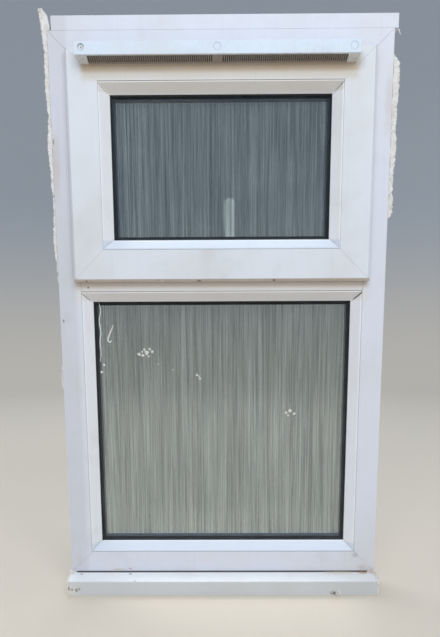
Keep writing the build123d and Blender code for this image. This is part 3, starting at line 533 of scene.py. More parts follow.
def plastic_surface(look, colour, gloss, corner_shade):
    """Painted shade in corners and joints by ambient occlusion, uneven gloss, orange peel and fine
    scratches.
    """
    # Painted shade: corners and joints darkened by an ambient occlusion mask.
    shaded_corners = look.step(look.corners(SHADED_CORNER), 0.38, 0.95)
    colour = look.tint(colour, GRIME_AND_SHADE, shaded_corners, corner_shade)
    peel = look.noise(scale=1400.0, detail=2.0)
    scratches = look.patches(
        0.70, 0.76, high=0.4, scale=300.0, detail=2.0, stretch=LEVEL_SCRATCHES, seed=15.0
    )
    rough = look.patches(0.3, 0.8, gloss, gloss + 0.18, scale=45.0, detail=4.0)
    look.set(Base_Color=colour, Roughness=rough, Specular_IOR_Level=0.45)
    look.bump(look.calc("ADD", peel, scratches), 0.02 * MM, strength=0.6)
    return look.material


def transom_shade(look, colour, outside):
    """Bands of painted warm shade on the outside of the transom, and a painted shadow line right
    under the sash.
    """
    inside = look.between("X", -FIXED_RING.half, FIXED_RING.half, JAMB_FADE)
    inside = look.times(outside, inside)
    for bottom, soft, tint, share in TRANSOM_SHADE_BANDS:
        # Painted shade: each band tints the transom's face under the sash.
        band = look.between("Z", bottom, TRANSOM_HIGH.z, soft)
        colour = look.tint(colour, tint, band, inside, share)
    return colour


def sill_joint_length(look):
    """1 along the black joint between the frame and the sill."""
    return look.between("X", *SILL_JOINT, SILL_JOINT_FADE)


def frame_look():
    """Outer frame and transom: weld lines, a black joint above the sill, painted shade on the left
    jamb and painted warm shade on the transom under the sash.
    """
    look = Look("upvc_frame")
    colour = weathered(look, WHITE_FRAME)
    # Painted shade: the left jamb is darker, as the light falls off to the left.
    left = look.rise_past("X", -FIXED_RING.half, (0.0, -JAMB_FADE))
    colour = look.tint(colour, GRIME_AND_SHADE, left, LEFT_JAMB_SHADE)
    colour = look.tint(colour, GRIME_AND_SHADE, look.mitre(FRAME_RING, WELD_LINE), FRAME_WELDS)
    outside = look.fall_past("Y", 0.0, OUTSIDE)
    colour = transom_shade(look, colour, outside)
    joint = look.between("Z", SILL_HIGH.z - 2 * MM, SILL_HIGH.z + 1.3 * MM, 0.5 * MM)
    colour = look.tint(colour, JOINT, joint, sill_joint_length(look), outside, SILL_JOINT_DIRT)
    colour = stained(look, colour, FRAME_STAINS)
    return plastic_surface(look, colour, gloss=0.33, corner_shade=0.6)


def canopy_shade_and_dirt_on_sash(look, colour, cloud):
    """Painted shade and brown dirt under the canopy, painted dark shade on the sash behind it,
    painted warm shade down to the bead.
    """
    front = look.fall_past("Y", SASH_LOW.y, SASH_FRONT)
    width = look.between("X", CANOPY_LOW.x + 14 * MM, CANOPY_HIGH.x - 6 * MM, 14 * MM)
    # Painted shade and brown dirt on the sash right under the canopy.
    under = look.rise_past("Z", CANOPY_LOW.z, UNDER_CANOPY)
    colour = look.tint(colour, RIM_SHADE_TAN, under, width, front, cloud, CANOPY_RIM_DIRT_AND_SHADE)
    # Painted shade: the sash's face behind the canopy, nearly black.
    low, high = CANOPY_LOW.z + CANOPY_BACK_EDGES, CANOPY_HIGH.z - CANOPY_BACK_EDGES
    behind = look.between("Z", low, high, 1 * MM)
    left, right = CANOPY_LOW.x + CANOPY_BACK_ENDS, CANOPY_HIGH.x - CANOPY_BACK_ENDS
    length = look.between("X", left, right, 1 * MM)
    colour = look.tint(colour, SLOT_DIRT_AND_SHADE, behind, length, front, CANOPY_BACK_SHADE)
    # Painted warm shade on the sash's top rail, fading down to the bead.
    top = look.rise_past("Z", SASH_BEAD_RING.top, SASH_TOP)
    return look.tint(colour, SAND_AND_SHADE, top, width, front, SASH_TOP_SHADE)


def sash_look():
    """Opening sash: weld lines, painted shade and brown dirt under the canopy, painted warm shade
    along the bottom edge.
    """
    look = Look("upvc_sash")
    colour = weathered(look, WHITE_SASH)
    colour = look.tint(colour, GRIME_AND_SHADE, look.mitre(SASH_RING, WELD_LINE), SASH_WELDS)
    cloud = look.patches(0.25, 0.75, low=0.75, scale=20.0, detail=4.0, rough=0.6, seed=17.0)
    colour = canopy_shade_and_dirt_on_sash(look, colour, cloud)
    # Painted warm shade on the sash's bottom edge, which faces down.
    bottom = look.fall_past("Z", SASH_LOW.z, SASH_FOOT)
    colour = look.tint(colour, TAN_AND_SHADE, bottom, cloud, SASH_FOOT_SHADE)
    colour = stained(look, colour, SASH_STAINS)
    return plastic_surface(look, colour, gloss=0.33, corner_shade=0.6)


def bead_look(name, ring, top_shade, corner_dirt):
    """Glazing beads: painted warm shade on the top bead, painted bluish sky light on the bottom
    bead, dark line round the outer edge, mitres that opened a little.
    """
    look = Look(name)
    colour = weathered(look, LIT_BEAD_WHITE, BEAD_AGEING)
    # Painted warm shade on the top bead, which faces down.
    colour = look.tint(colour, SAND_AND_SHADE, look.rise_past("Z", ring.top, BEAD_TOP), top_shade)
    # Painted light: the bottom bead, which faces the sky, tinted bluish and toned down.
    sky_lit_foot = look.fall_past("Z", ring.bottom, BEAD_FOOT)
    colour = look.tint(colour, BEAD_SKY_LIGHT, sky_lit_foot, BEAD_SKY_LIGHT_SHARE)
    colour = look.tint(colour, JOINT, look.rim(ring, BEAD_RIM), BEAD_RIM_DIRT)
    colour = look.tint(colour, GRIME_AND_SHADE, look.mitre(ring, BEAD_LINE), BEAD_WELDS)
    top = look.rise_past("Z", ring.top, BEAD_TOP_CORNER)
    colour = look.tint(colour, JOINT, look.mitre(ring, DIRTY_LINE), top, corner_dirt)
    right = look.rise_past("X", 0.0, RIGHT_HALF)
    colour = look.tint(colour, JOINT, look.mitre(ring, WIDE_LINE), top, right, corner_dirt)
    return plastic_surface(look, colour, gloss=0.28, corner_shade=0.6)


def sill_look():
    """Sill and its caps: black joint under the frame, painted shade on the nose's front, rust at
    the right, smudges at the left.
    """
    look = Look("upvc_sill")
    colour = weathered(look, WHITE_SILL)
    joint = look.rise_past("Z", SILL_HIGH.z, SILL_JOINT_TOP)
    colour = look.tint(colour, JOINT, joint, sill_joint_length(look), SILL_JOINT_DIRT)
    # Painted shade: the front face of the nose darker than the sill's top.
    colour = look.tint(colour, NOSE_SHADE, look.fall_past("Y", SILL_LOW.y, SILL_NOSE), NOSE_SHADE_SHARE)
    colour = look.tint(colour, CREAM, look.fall_past("Z", 0.0, SILL_FOOT), SILL_FOOT_SHARE)
    ends = look.step(look.aside(), SILL_HIGH.x - 0.5 * MM, SILL_HIGH.x + 0.5 * MM)
    colour = look.tint(colour, CREAM, ends, SILL_END_SHARE)
    colour = stained(look, colour, SILL_STAINS)
    return plastic_surface(look, colour, gloss=0.36, corner_shade=0.5)


def hollow_masks(look, inward):
    """Three masks of the canopy's hollow: above its underside, behind its front, under its roof."""
    slope = CANOPY_SLOPE / (CANOPY_HIGH.y - CANOPY_LOW.y)
    underside = look.calc("SUBTRACT", CANOPY_LOW.z + CANOPY_SLOPE, look.times(inward, slope))
    above = look.step(look.calc("SUBTRACT", look.axis("Z"), underside), *CANOPY_FLOOR)
    behind = look.step(inward, *CANOPY_SKIN)
    return above, behind, look.fall_past("Z", CANOPY_HIGH.z, CANOPY_ROOF)


def canopy_shade_and_dirt(look, colour, inward):
    """Painted shade in the canopy's hollow; painted warm shade and dust on its underside; brown
    dirt and painted shade on the comb.
    """
    above, behind, below = hollow_masks(look, inward)
    within = look.between("Y", CANOPY_LOW.y, CANOPY_HIGH.y + CANOPY_THIN, CANOPY_THIN)
    sides = look.between("X", CANOPY_LOW.x + CANOPY_ENDS, CANOPY_HIGH.x - CANOPY_ENDS, 1 * MM)
    hollow = look.times(above, behind, within, below, sides)
    # Painted shade: the canopy's hollow darkened nearly black.
    colour = look.tint(colour, SLOT_DIRT_AND_SHADE, hollow, CANOPY_BACK_SHADE)
    # Painted warm shade on the canopy's underside.
    lower = look.fall_past("Z", CANOPY_LOW.z + CANOPY_SLOPE, CANOPY_COMB)
    colour = look.tint(colour, SAND_AND_SHADE, lower, within, CANOPY_DUST_AND_SHADE)
    dust = look.patches(0.45, 0.75, scale=220.0, detail=4.0, rough=0.6, seed=19.0)
    colour = look.tint(colour, SLOT_DIRT_AND_SHADE, lower, within, dust, CANOPY_DUST_AND_SHADE)
    # Brown dirt and painted shade on the comb of the underside.
    comb = look.between("Y", CANOPY_LOW.y + CANOPY_COMB_FRONT, CANOPY_HIGH.y, 1 * MM)
    return look.tint(colour, COMB_DIRT_AND_SHADE, lower, comb, sides, CANOPY_COMB_DIRT_AND_SHADE)


def vent_look():
    """Vent covers: clean and glossy outside, painted shade in the canopy's slots and hollow,
    painted shade and brown dirt on its underside.
    """
    look = Look("vent_white")
    indoors = look.rise_past("Y", 0.0, INDOORS)
    colour = weathered(look, look.mix(indoors, WHITE_VENT, WHITE_SASH))
    inward = look.calc("SUBTRACT", look.axis("Y"), CANOPY_LOW.y)
    colour = canopy_shade_and_dirt(look, colour, inward)
    corner = (CANOPY_LOW.x, CANOPY_LOW.y, CANOPY_HIGH.z)
    middle = Vector([start + shift for start, shift in zip(corner, CANOPY_SEAT)])
    seat = look.near(middle, CANOPY_SEAT_RADIUS)
    colour = look.tint(colour, GRIME_AND_SHADE, seat, look.step(inward, *CANOPY_SUNK), CANOPY_SEAT_GRIME)
    return plastic_surface(look, colour, gloss=0.22, corner_shade=0.3)


def white_look(name, clean, gloss):
    """A smooth moulded or painted part, handled and a little dirty."""
    look = Look(name)
    return plastic_surface(look, weathered(look, clean), gloss, corner_shade=0.45)


def rubber_look():
    """Black gasket rubber with pale dust and a dull sheen."""
    look = Look("black_seal")
    dust = look.patches(0.52, 0.85, high=0.16, scale=160.0, detail=4.0, rough=0.65)
    look.set(Base_Color=look.mix(dust, RUBBER, RUBBER_DUST))
    look.set(Roughness=look.patches(0.3, 0.7, 0.45, 0.7, scale=90.0))
    look.bump(look.noise(scale=900.0), 0.05 * MM)
    return look.material


def mastic_look():
    """Old white mastic: torn, dusty and dull in patches, brown where it left the wall."""
    look = Look("mastic")
    patches = look.patches(0.35, 0.75, scale=60.0, detail=4.0, rough=0.65)
    colour = look.mix(patches, MASTIC_DULL, MASTIC_CLEAN)
    dust = look.patches(0.52, 0.76, high=0.75, scale=230.0, detail=5.0, rough=0.7, seed=4.0)
    colour = look.tint(colour, MASTIC_DUST, dust)
    past = look.calc("SUBTRACT", look.aside(), FRAME_RING.half)
    bands = look.patches(0.50, 0.68, scale=30.0, rough=0.6, seed=6.0)
    colour = look.tint(colour, MASTIC_EDGE, bands, look.step(past, *MASTIC_SEAM, 0.55, 0.10))
    rim = look.step(past, *MASTIC_RIM, 0.0, 0.45)
    ragged = look.noise(scale=160.0, detail=4.0, rough=0.7, seed=12.0)
    colour = look.tint(colour, MASTIC_EDGE, rim, ragged)
    look.set(Base_Color=colour, Roughness=0.82)
    look.bump(look.noise(scale=700.0, detail=5.0, rough=0.7), 0.6 * MM, strength=0.9)
    return look.material


def paint_look():
    """Dried white splashes on the glass."""
    look = Look("dried_paint")
    shade = look.mix(look.noise(scale=500.0, detail=4.0), PAINT, PAINT_AGED)
    look.set(Base_Color=shade, Roughness=0.6)
    look.bump(look.noise(scale=900.0), 0.1 * MM)
    return look.material


def clear_glass_look():
    """Clear pane with a faint green body and a thin uneven film of dirt."""
    look = Look("clear_glass")
    film = look.patches(0.40, 0.80, high=0.5, scale=16.0, detail=5.0, rough=0.7)
    spots = look.patches(0.70, 0.78, high=0.8, scale=420.0, detail=2.0, rough=0.5, seed=8.0)
    dirt = look.calc("ADD", film, spots, clamp=True)
    look.set(Base_Color=GLASS_TINT, IOR=GLASS_IOR, Roughness=look.times(dirt, 0.05))
    look.set(Transmission_Weight=look.calc("SUBTRACT", 1.0, look.times(dirt, 0.045)))
    return look.material


def streaked_glass_look():
    """Obscure pane: fine upright streaks, some clearer and some duller, in shades darker than the
    glass itself: painted shade.
    """
    look = Look("obscure_glass")
    fine = look.noise(scale=520.0, rough=0.7, stretch=FINE_STREAKS, seed=6.0)
    broad = look.noise(scale=110.0, rough=0.6, stretch=BROAD_STREAKS, seed=2.0)
    both = look.calc("ADD", look.times(fine, 0.78), look.times(broad, 0.22))
    # Painted shade: the pane's shades dim the light through it.
    shade = look.mix(look.step(both, 0.36, 0.64), STREAK_DARK, STREAK_PALE)
    rough = look.step(fine, 0.35, 0.65, 0.02, 0.14)
    look.set(Base_Color=shade, IOR=GLASS_IOR, Roughness=rough)
    look.set(Transmission_Weight=look.step(broad, 0.40, 0.75, 1.0, 0.90))
    look.bump(fine, 0.08 * MM, strength=0.8)
    return look.material


def spacer_look():
    """Dark blue-grey spacer bar between the panes, its blue a painted sky reflection, brushed along
    its length and pitted.
    """
    look = Look("unit_spacer")
    brush = look.noise(scale=500.0, rough=0.6, stretch=BRUSHED_BAR)
    colour = look.mix(brush, SPACER_DARK, SPACER_PALE)
    pits = look.patches(0.66, 0.72, high=0.7, scale=900.0, detail=1.0, rough=0.5, seed=3.0)
    look.set(Base_Color=look.mix(pits, colour, RUBBER), Metallic=0.5, Roughness=0.34)
    look.bump(brush, 0.05 * MM)
    return look.material


def metal_look(name, colour, stretch, rough, tarnish):
    """Bare or plated metal with a grain along one direction and dull patches."""
    look = Look(name)
    grain = look.noise(scale=1300.0, rough=0.6, stretch=stretch)
    patches = look.patches(0.45, 0.75, scale=70.0, detail=4.0, rough=0.65, seed=3.0)
    shade = look.tint(colour, TARNISH, patches, tarnish)
    surface = look.calc("ADD", look.times(grain, 0.16), look.times(patches, 0.12))
    look.set(Base_Color=shade, Metallic=1.0, Roughness=look.calc("ADD", surface, rough))
    look.bump(grain, 0.03 * MM, strength=0.7)
    return look.material


def packer_look():
    """Blue moulded packer plastic."""
    look = Look("packer_plastic")
    look.set(Base_Color=look.mix(look.noise(scale=80.0), PACKER_DARK, PACKER_PALE))
    look.set(Roughness=look.patches(0.3, 0.7, 0.4, 0.55, scale=60.0))
    look.bump(look.noise(scale=600.0), 0.05 * MM)
    return look.material


def stage_look():
    """Pale matt stage: warm on the floor, cooler up the wall."""
    look = Look("stage")
    colour = look.mix(look.rise_past("Z", 0.0, WALL_TINT), FLOOR, WALL)
    look.set(Base_Color=colour, Roughness=0.9, Specular_IOR_Level=0.1)
    look.bump(look.noise(scale=40.0), 0.2 * MM)
    return look.material


MATERIALS = {
    "upvc_frame": frame_look(),
    "upvc_sash": sash_look(),
    "fixed_bead": bead_look("fixed_bead", FIXED_RING, top_shade=0.24, corner_dirt=0.8),
    "sash_bead": bead_look("sash_bead", SASH_BEAD_RING, top_shade=0.38, corner_dirt=0.35),
    "upvc_sill": sill_look(),
    "vent_white": vent_look(),
    "handle_white": white_look("handle_white", WHITE_HANDLE, gloss=0.2),
    "button_grey": white_look("button_grey", GREY_BUTTON, gloss=0.35),
    "mastic": mastic_look(),
    "paint": paint_look(),
    "black_seal": rubber_look(),
    "unit_spacer": spacer_look(),
    "clear_glass": clear_glass_look(),
    "obscure_glass": streaked_glass_look(),
    "packer_plastic": packer_look(),
    "stay_steel": metal_look("stay_steel", STEEL, BRUSHED_UPRIGHT, rough=0.26, tarnish=0.25),
    "screw_steel": metal_look("screw_steel", ZINC, (1, 1, 1), rough=0.30, tarnish=0.45),
    "lock_zinc": metal_look("lock_zinc", ZINC, BRUSHED_LEVEL, rough=0.30, tarnish=0.25),
}


def material_for(node):
    """The material of a CAD node, by its slot; the beads of each light have their own."""
    slot = SLOT_OF[node]
    if slot == "upvc_bead":
        return MATERIALS["fixed_bead" if node.startswith("fixed") else "sash_bead"]
    return MATERIALS[slot]


def paint(piece, material):
    """Give a piece one material."""
    piece.data.materials.clear()
    piece.data.materials.append(material)


# Rounded edges of the rigid pieces that show: width in millimetres and how the node names start
EDGE_ROUNDS = [
    (0.45, ("frame_head", "frame_bottom_rail", "frame_jamb", "transom")),
    (0.45, ("sash_top_rail", "sash_bottom_rail", "sash_stile")),
    (0.5, ("fixed_bead", "sash_bead", "sill")),
    (0.4, ("head_extension", "vent_inner", "handle_lock")),
    (0.35, ("vent_canopy",)),
    (0.8, ("handle_base", "handle_lever")),
    (0.2, ("stay_", "espag_")),
]


def modify(piece, name, kind, **settings):
    """A modifier on a piece, with its settings."""
    modifier = piece.modifiers.new(name, kind)
    for setting, value in settings.items():
        setattr(modifier, setting, value)


def soften(piece, width):
    """Rounds the sharp edges of a CAD piece by modifiers, which leave its mesh alone."""
    flat, sharp = math.radians(FLAT_DEGREES), math.radians(SHARP_DEGREES)
    modify(piece, "weld", "WELD", merge_threshold=WELD)
    modify(piece, "flat", "DECIMATE", decimate_type="DISSOLVE", angle_limit=flat)
    edges = {"limit_method": "ANGLE", "angle_limit": sharp}
    modify(piece, "bevel", "BEVEL", width=width * MM, segments=ROUND_SEGMENTS, **edges)


def dress_cad():
    """Every CAD piece gets its material, and the rigid ones that show get rounded edges."""
    for node, piece in CAD.items():
        paint(piece, material_for(node))
        for width, starts in EDGE_ROUNDS:
            if node.startswith(starts):
                soften(piece, width)
    for node in ("fixed_outer_pane", "sash_outer_pane"):
        CAD[node].visible_shadow = False


def finished(maker, name, smooth=True):
    """A mesh from a bmesh, with its normals outward."""
    bmesh.ops.recalc_face_normals(maker, faces=maker.faces)
    mesh_data = bpy.data.meshes.new(name)
    maker.to_mesh(mesh_data)
    maker.free()
    for face in mesh_data.polygons:
        face.use_smooth = smooth
    return mesh_data


def linked(name, data):
    """A new object in the scene."""
    piece = bpy.data.objects.new(name, data)
    bpy.context.scene.collection.objects.link(piece)
    return piece


def new_piece(name, maker, body, material, replaced=None, smooth=True):
    """A finished piece on a body, in place of a CAD node where one is named."""
    piece = linked(name, finished(maker, name, smooth))
    paint(piece, MATERIALS[material])
    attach(piece, body)
    if replaced:
        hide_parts(replaced)
    return piece


def replacement(node, ending, maker, material, smooth=True):
    """A finished piece that stands in for a CAD node."""
    return new_piece(node + ending, maker, BODY_OF[node], material, node, smooth)


def circle(spokes):
    """Angles all round."""
    return [2 * math.pi * k / spokes for k in range(spokes)]


def join_rings(maker, rings):
    """Faces between neighbouring rings of points; a ring of one repeated point gives triangles."""
    for inner, outer in zip(rings, rings[1:]):
        for k in range(len(inner)):
            m = (k + 1) % len(inner)
            corners = [inner[k], outer[k], outer[m], inner[m]]
            maker.faces.new(list(dict.fromkeys(corners)))


def limited(value, low, high):
    """A value held between two limits."""
    return min(max(value, low), high)


def wave(x, z, seed):
    """Height of the streaked face, from 0 to 1: uneven upright waves."""
    height = WAVE_MIDDLE
    for wide, tall, share, shift in WAVES:
        height += share * noise.noise(Vector((x / wide, z / tall, seed + shift)))
    return limited(height, 0.0, 1.0)


def wavy_grid(maker, low, high, y, depth, seed):
    """One face of a pane, as columns of points that stand back by a share of the depth."""
    columns = int((high.x - low.x) / COLUMN)
    rows = int((high.z - low.z) / ROW)
    heights = [low.z + (high.z - low.z) * j / rows for j in range(rows + 1)]
    grid = []
    for i in range(columns + 1):
        x = low.x + (high.x - low.x) * i / columns
        grid.append([maker.verts.new((x, y - depth * wave(x, z, seed), z)) for z in heights])
    for i in range(columns):
        for j in range(rows):
            maker.faces.new((grid[i][j], grid[i + 1][j], grid[i + 1][j + 1], grid[i][j + 1]))
    return grid


def streaked_pane(node, seed):
    """An obscure pane whose room face runs in upright waves."""
    low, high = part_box(node)
    maker = bmesh.new()
    outer = wavy_grid(maker, low, high, low.y, 0.0, seed)
    room = wavy_grid(maker, low, high, high.y, WAVE_DEPTH, seed)
    columns, rows = len(outer) - 1, len(outer[0]) - 1
    border = [(i, 0) for i in range(columns)] + [(columns, j) for j in range(rows)]
    border += [(i, rows) for i in range(columns, 0, -1)] + [(0, j) for j in range(rows, 0, -1)]
    for (i, j), (m, n) in zip(border, border[1:] + border[:1]):
        maker.faces.new((outer[i][j], outer[m][n], room[m][n], room[i][j]))
    pane = replacement(node, "_streaked", maker, "obscure_glass")
    pane.visible_shadow = False


def voxel_copy(node):
    """A bmesh of a CAD node, rebuilt from small voxels, with its normals ready."""
    work = linked("mastic_work", CAD[node].data.copy())
    modify(work, "weld", "WELD", merge_threshold=WELD)
    modify(work, "remesh", "REMESH", mode="VOXEL", voxel_size=MASTIC_VOXEL)
    graph = bpy.context.evaluated_depsgraph_get()
    mesh_data = bpy.data.meshes.new_from_object(work.evaluated_get(graph), depsgraph=graph)
    bpy.data.objects.remove(work)
    maker = bmesh.new()
    maker.from_mesh(mesh_data)
    maker.normal_update()
    return maker


def cell_noise(place, cells, shift):
    """Noise at a place, with so many cells a metre along each axis."""
    return noise.noise(Vector([p * count + s for p, count, s in zip(place, cells, shift)]))


def roughen(vertex, seed):
    """Lumps and grain on a point of mastic, and bites out of its wall side."""
    place = vertex.co.copy()
    lump = cell_noise(place, LUMP_CELLS, (0, 0, seed))
    grain = cell_noise(place, GRAIN_CELLS, (0, 0, seed))
    notch = cell_noise(place, NOTCH_CELLS, (seed, 0, 0))
    chip = cell_noise(place, CHIP_CELLS, (seed + CHIP_SEED, 0, 0))
    past = limited((abs(place.x) - FRAME_RING.half) / BITE_RUN, 0.0, 1.0)
    bite = past * (BITE_DEPTH * max(notch, 0.0) + BITE_DEPTH * max(chip, 0.0)) * MM
    raised = (LUMP_DEPTH * lump + GRAIN_DEPTH * grain - SHRINK) * MM
    vertex.co = place + vertex.normal * raised
    vertex.co.x -= math.copysign(bite, place.x)


def torn(node, seed):
    """A torn, lumpy copy of a mastic node, kept inside its own outline."""
    low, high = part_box(node)
    maker = voxel_copy(node)
    for vertex in maker.verts:
        roughen(vertex, seed)
        vertex.co = Vector([limited(v, a, b) for v, a, b in zip(vertex.co, low, high)])
    replacement(node, "_torn", maker, "mastic")


def points_middle(points):
    """The mean of some points."""
    return sum(points, Vector((0, 0, 0))) / len(points)


def islands(node):
    """Corner points of each separate solid of a CAD node, in the same order each run."""
    maker = bmesh.new()
    maker.from_mesh(CAD[node].data)
    bmesh.ops.remove_doubles(maker, verts=maker.verts, dist=WELD)
    groups = []
    waiting = dict.fromkeys(maker.verts)
    while waiting:
        stack = [waiting.popitem()[0]]
        points = []
        while stack:
            vertex = stack.pop()
            points.append(vertex.co.copy())
            for edge in vertex.link_edges:
                other = edge.other_vert(vertex)
                if other in waiting:
                    del waiting[other]
                    stack.append(other)
        groups.append(points)
    maker.free()
    return sorted(groups, key=lambda points: tuple(round(v, 4) for v in points_middle(points)))


def screw_ends(points):
    """Radius and middle of a flat-sided screw's head, then of its shank's end."""
    size = [max(p[i] for p in points) - min(p[i] for p in points) for i in range(3)]
    axis = size.index(max(size))
    ends = []
    for pick in (min, max):
        level = pick(p[axis] for p in points)
        rim = [p for p in points if abs(p[axis] - level) < LEVEL_BAND]
        middle = points_middle(rim)
        ends.append((max((p - middle).length for p in rim), middle))
    return sorted(ends, key=lambda end: -end[0])


def cross_reach(angle, arm, half):
    """How far a cross recess reaches in a direction."""
    c = max(abs(math.cos(angle)), 1e-6)
    s = max(abs(math.sin(angle)), 1e-6)
    return max(min(arm / c, half / s), min(arm / s, half / c))


def screw_profile(head, shank, length, countersunk):
    """Rings of a screw from recess to tip: scale, radius or None for the cross, and depth."""
    neck = head - shank + COUNTERSUNK_LIP if countersunk else BOLT_HEAD
    return [
        (CROSS_FLOOR, None, CROSS_DEPTH * head),
        (1.0, None, 0.0),
        (HEAD_FLAT, head, 0.0),
        (1.0, head, HEAD_ROUND * head),
        (1.0, shank if countersunk else head, neck),
        (1.0, shank, neck),
        (1.0, shank, length - shank),
        (TIP_SHARE, shank, length),
    ]


def round_screw(maker, points, countersunk):
    """A round screw with a cross recess, in place of one flat-sided CAD screw."""
    (head_radius, head), (shank, tip) = screw_ends(points)
    along = (tip - head).normalized()
    side = along.orthogonal().normalized()
    other = along.cross(side)
    arm, half = CROSS_ARM * head_radius, CROSS_HALF * head_radius
    rings = []
    for scale, radius, depth in screw_profile(head_radius, shank, (tip - head).length, countersunk):
        ring = []
        for angle in circle(SCREW_SPOKES):
            reach = scale * (radius or cross_reach(angle, arm, half))
            heading = side * math.cos(angle) + other * math.sin(angle)
            ring.append(maker.verts.new(head + along * depth + heading * reach))
        rings.append(ring)
    join_rings(maker, rings)
    maker.faces.new(rings[0])
    maker.faces.new(rings[-1])


def round_screws(node, countersunk=True):
    """All screws of a CAD node, rebuilt round with their cross recesses."""
    maker = bmesh.new()
    for points in islands(node):
        round_screw(maker, points, countersunk)
    bmesh.ops.remove_doubles(maker, verts=maker.verts, dist=SCREW_WELD)
    replacement(node, "_round", maker, "screw_steel", smooth=False)


def splash(maker, centre, radius, thick, seed):
    """A low ragged drop, of paint or mastic, on a face that looks outward."""
    middle = maker.verts.new(centre + Vector((0, -thick, 0)))
    rings = [[middle] * SPLASH_SPOKES]
    for number in range(1, SPLASH_RINGS + 1):
        share = number / SPLASH_RINGS
        ring = []
        for angle in circle(SPLASH_SPOKES):
            heading = Vector((math.cos(angle), 0, math.sin(angle)))
            ragged = noise.noise(heading * SPLASH_CELLS + Vector((seed, seed, 0)))
            place = centre + heading * (radius * (1 + SPLASH_RAGGED * ragged)) * share
            place.y -= thick * (1 - share**3)
            ring.append(maker.verts.new(place))
        rings.append(ring)
    join_rings(maker, rings)


def smooth_path(points):
    """A smooth run of points through the given ones."""
    ends = [points[0], *points, points[-1]]
    path = []
    for a, b, c, d in zip(ends, ends[1:], ends[2:], ends[3:]):
        for k in range(STRAND_STEPS):
            t = k / STRAND_STEPS
            place = 2 * b + (c - a) * t
            place += (2 * a - 5 * b + 4 * c - d) * t**2
            place += (3 * b - a - 3 * c + d) * t**3
            path.append(0.5 * place)
    return [*path, points[-1]]


def strand(maker, points, width, flat, seed):
    """A tapering strand along a path in millimetres; flat squeezes it onto the surface."""
    path = smooth_path([in_mm(*point) for point in points])
    outward = Vector((0, -1, 0))
    rings = []
    for i, place in enumerate(path):
        ahead = path[min(i + 1, len(path) - 1)] - path[max(i - 1, 0)]
        side = ahead.cross(-outward).normalized()
        share = STRAND_TRIM + (1 - 2 * STRAND_TRIM) * i / (len(path) - 1)
        swell = STRAND_TIP + (1 - STRAND_TIP) * math.sin(math.pi * share)
        uneven = 1 + STRAND_UNEVEN * noise.noise(Vector((seed, 0, i * STRAND_CELLS)))
        reach = 0.5 * width * MM * swell * uneven
        ring = []
        for angle in circle(STRAND_SPOKES):
            raised = outward * math.sin(angle) * reach * flat
            ring.append(maker.verts.new(place + (side * math.cos(angle) * reach + raised)))
        rings.append(ring)
    join_rings(maker, rings)
    maker.faces.new(rings[0])
    maker.faces.new(rings[-1])


# Dried splashes on the lower pane: x, z and radius in millimetres
SPLASHES = [
    (-158, 466, 3.4), (-151, 464, 2.6), (-144, 469, 3.8), (-148, 475, 2.2),
    (-138, 476, 2.4), (-133, 471, 2.6), (-140, 462, 2.0), (-152, 471, 1.8),
    (-122, 447, 1.3), (-94, 436, 1.2), (-48, 426, 2.2), (-42, 419, 2.0),
    (-44, 423, 1.4), (124, 352, 2.6), (132, 356, 3.4), (140, 350, 2.6),
    (128, 347, 1.8), (-226, 446, 2.6), (-231, 432, 2.8),
]

# A hooked drip and a smear on the lower pane: x and z in millimetres
DRIP = [(-206, 521), (-209, 514), (-214, 503), (-217, 494), (-213, 489), (-210, 493)]
SMEAR = [(-231, 562), (-229, 548), (-232, 530), (-230, 508), (-232, 490), (-231, 468), (-233, 452)]

# Crumbs of mastic at the sill's ends and under its nose: x, y, z and radius in millimetres
CRUMBS = [
    (-301, -3, 36, 5.5), (-299, -8, 33, 3.4), (291, -2.5, 36.5, 5.0), (297, -8, 35, 5.2),
    (300.5, -15, 33, 4.6), (301.5, -23, 31, 4.0), (301.5, -30, 28.5, 3.6), (302, -33, 24, 2.6),
    (222, -33, 5, 2.4), (213, -33, 6.5, 1.5),
]

# Threads of mastic, in millimetres: a curl on the sill's nose by x and z, one at the head
# extension's end by x, y and z
CURL = [(223, 11), (227, 8), (227.5, 4), (224, 1.6), (218, 1.4)]
THREAD = [(303, 3, 1025), (307, 2, 1024), (309, 2, 1019), (311, 2, 1016)]


def glass_marks():
    """Splashes, a hooked drip and a thin pale smear down the left edge of the lower pane."""
    face = FIXED_GLASS_LOW.y / MM
    maker = bmesh.new()
    for k, (x, z, radius) in enumerate(SPLASHES):
        splash(maker, in_mm(x, face, z), radius * MM, PAINT_THICK, 3.0 * k + 1.0)
    strand(maker, [(x, face, z) for x, z in DRIP], width=3.2, flat=0.25, seed=2.0)
    strand(maker, [(x, face, z) for x, z in SMEAR], width=2.4, flat=0.2, seed=5.0)
    new_piece("glass_marks", maker, "frame", "paint")


def mastic_crumbs():
    """Torn crumbs and threads of mastic at the sill's ends and nose and the extension's end."""
    maker = bmesh.new()
    for k, (x, y, z, radius) in enumerate(CRUMBS):
        splash(maker, in_mm(x, y, z), radius * MM, CRUMB_THICK, 5.0 * k + 2.0)
    nose = SILL_LOW.y / MM - NOSE_GAP
    strand(maker, [(x, nose, z) for x, z in CURL], width=2.6, flat=0.7, seed=3.0)
    strand(maker, THREAD, width=1.8, flat=0.8, seed=4.0)
    new_piece("mastic_crumbs", maker, "frame", "mastic")


def turned_surface(name, profile, material):
    """A stage surface turned about the z axis from a list of radius and height."""
    maker = bmesh.new()
    turns = [(math.cos(angle), math.sin(angle)) for angle in circle(STAGE_SEGMENTS)]
    rings = []
    for radius, z in profile:
        if radius == 0:
            rings.append([maker.verts.new((0, 0, z))] * STAGE_SEGMENTS)
        else:
            rings.append([maker.verts.new((radius * c, radius * s, z)) for c, s in turns])
    join_rings(maker, rings)
    piece = linked(name, finished(maker, name))
    paint(piece, material)
    return piece


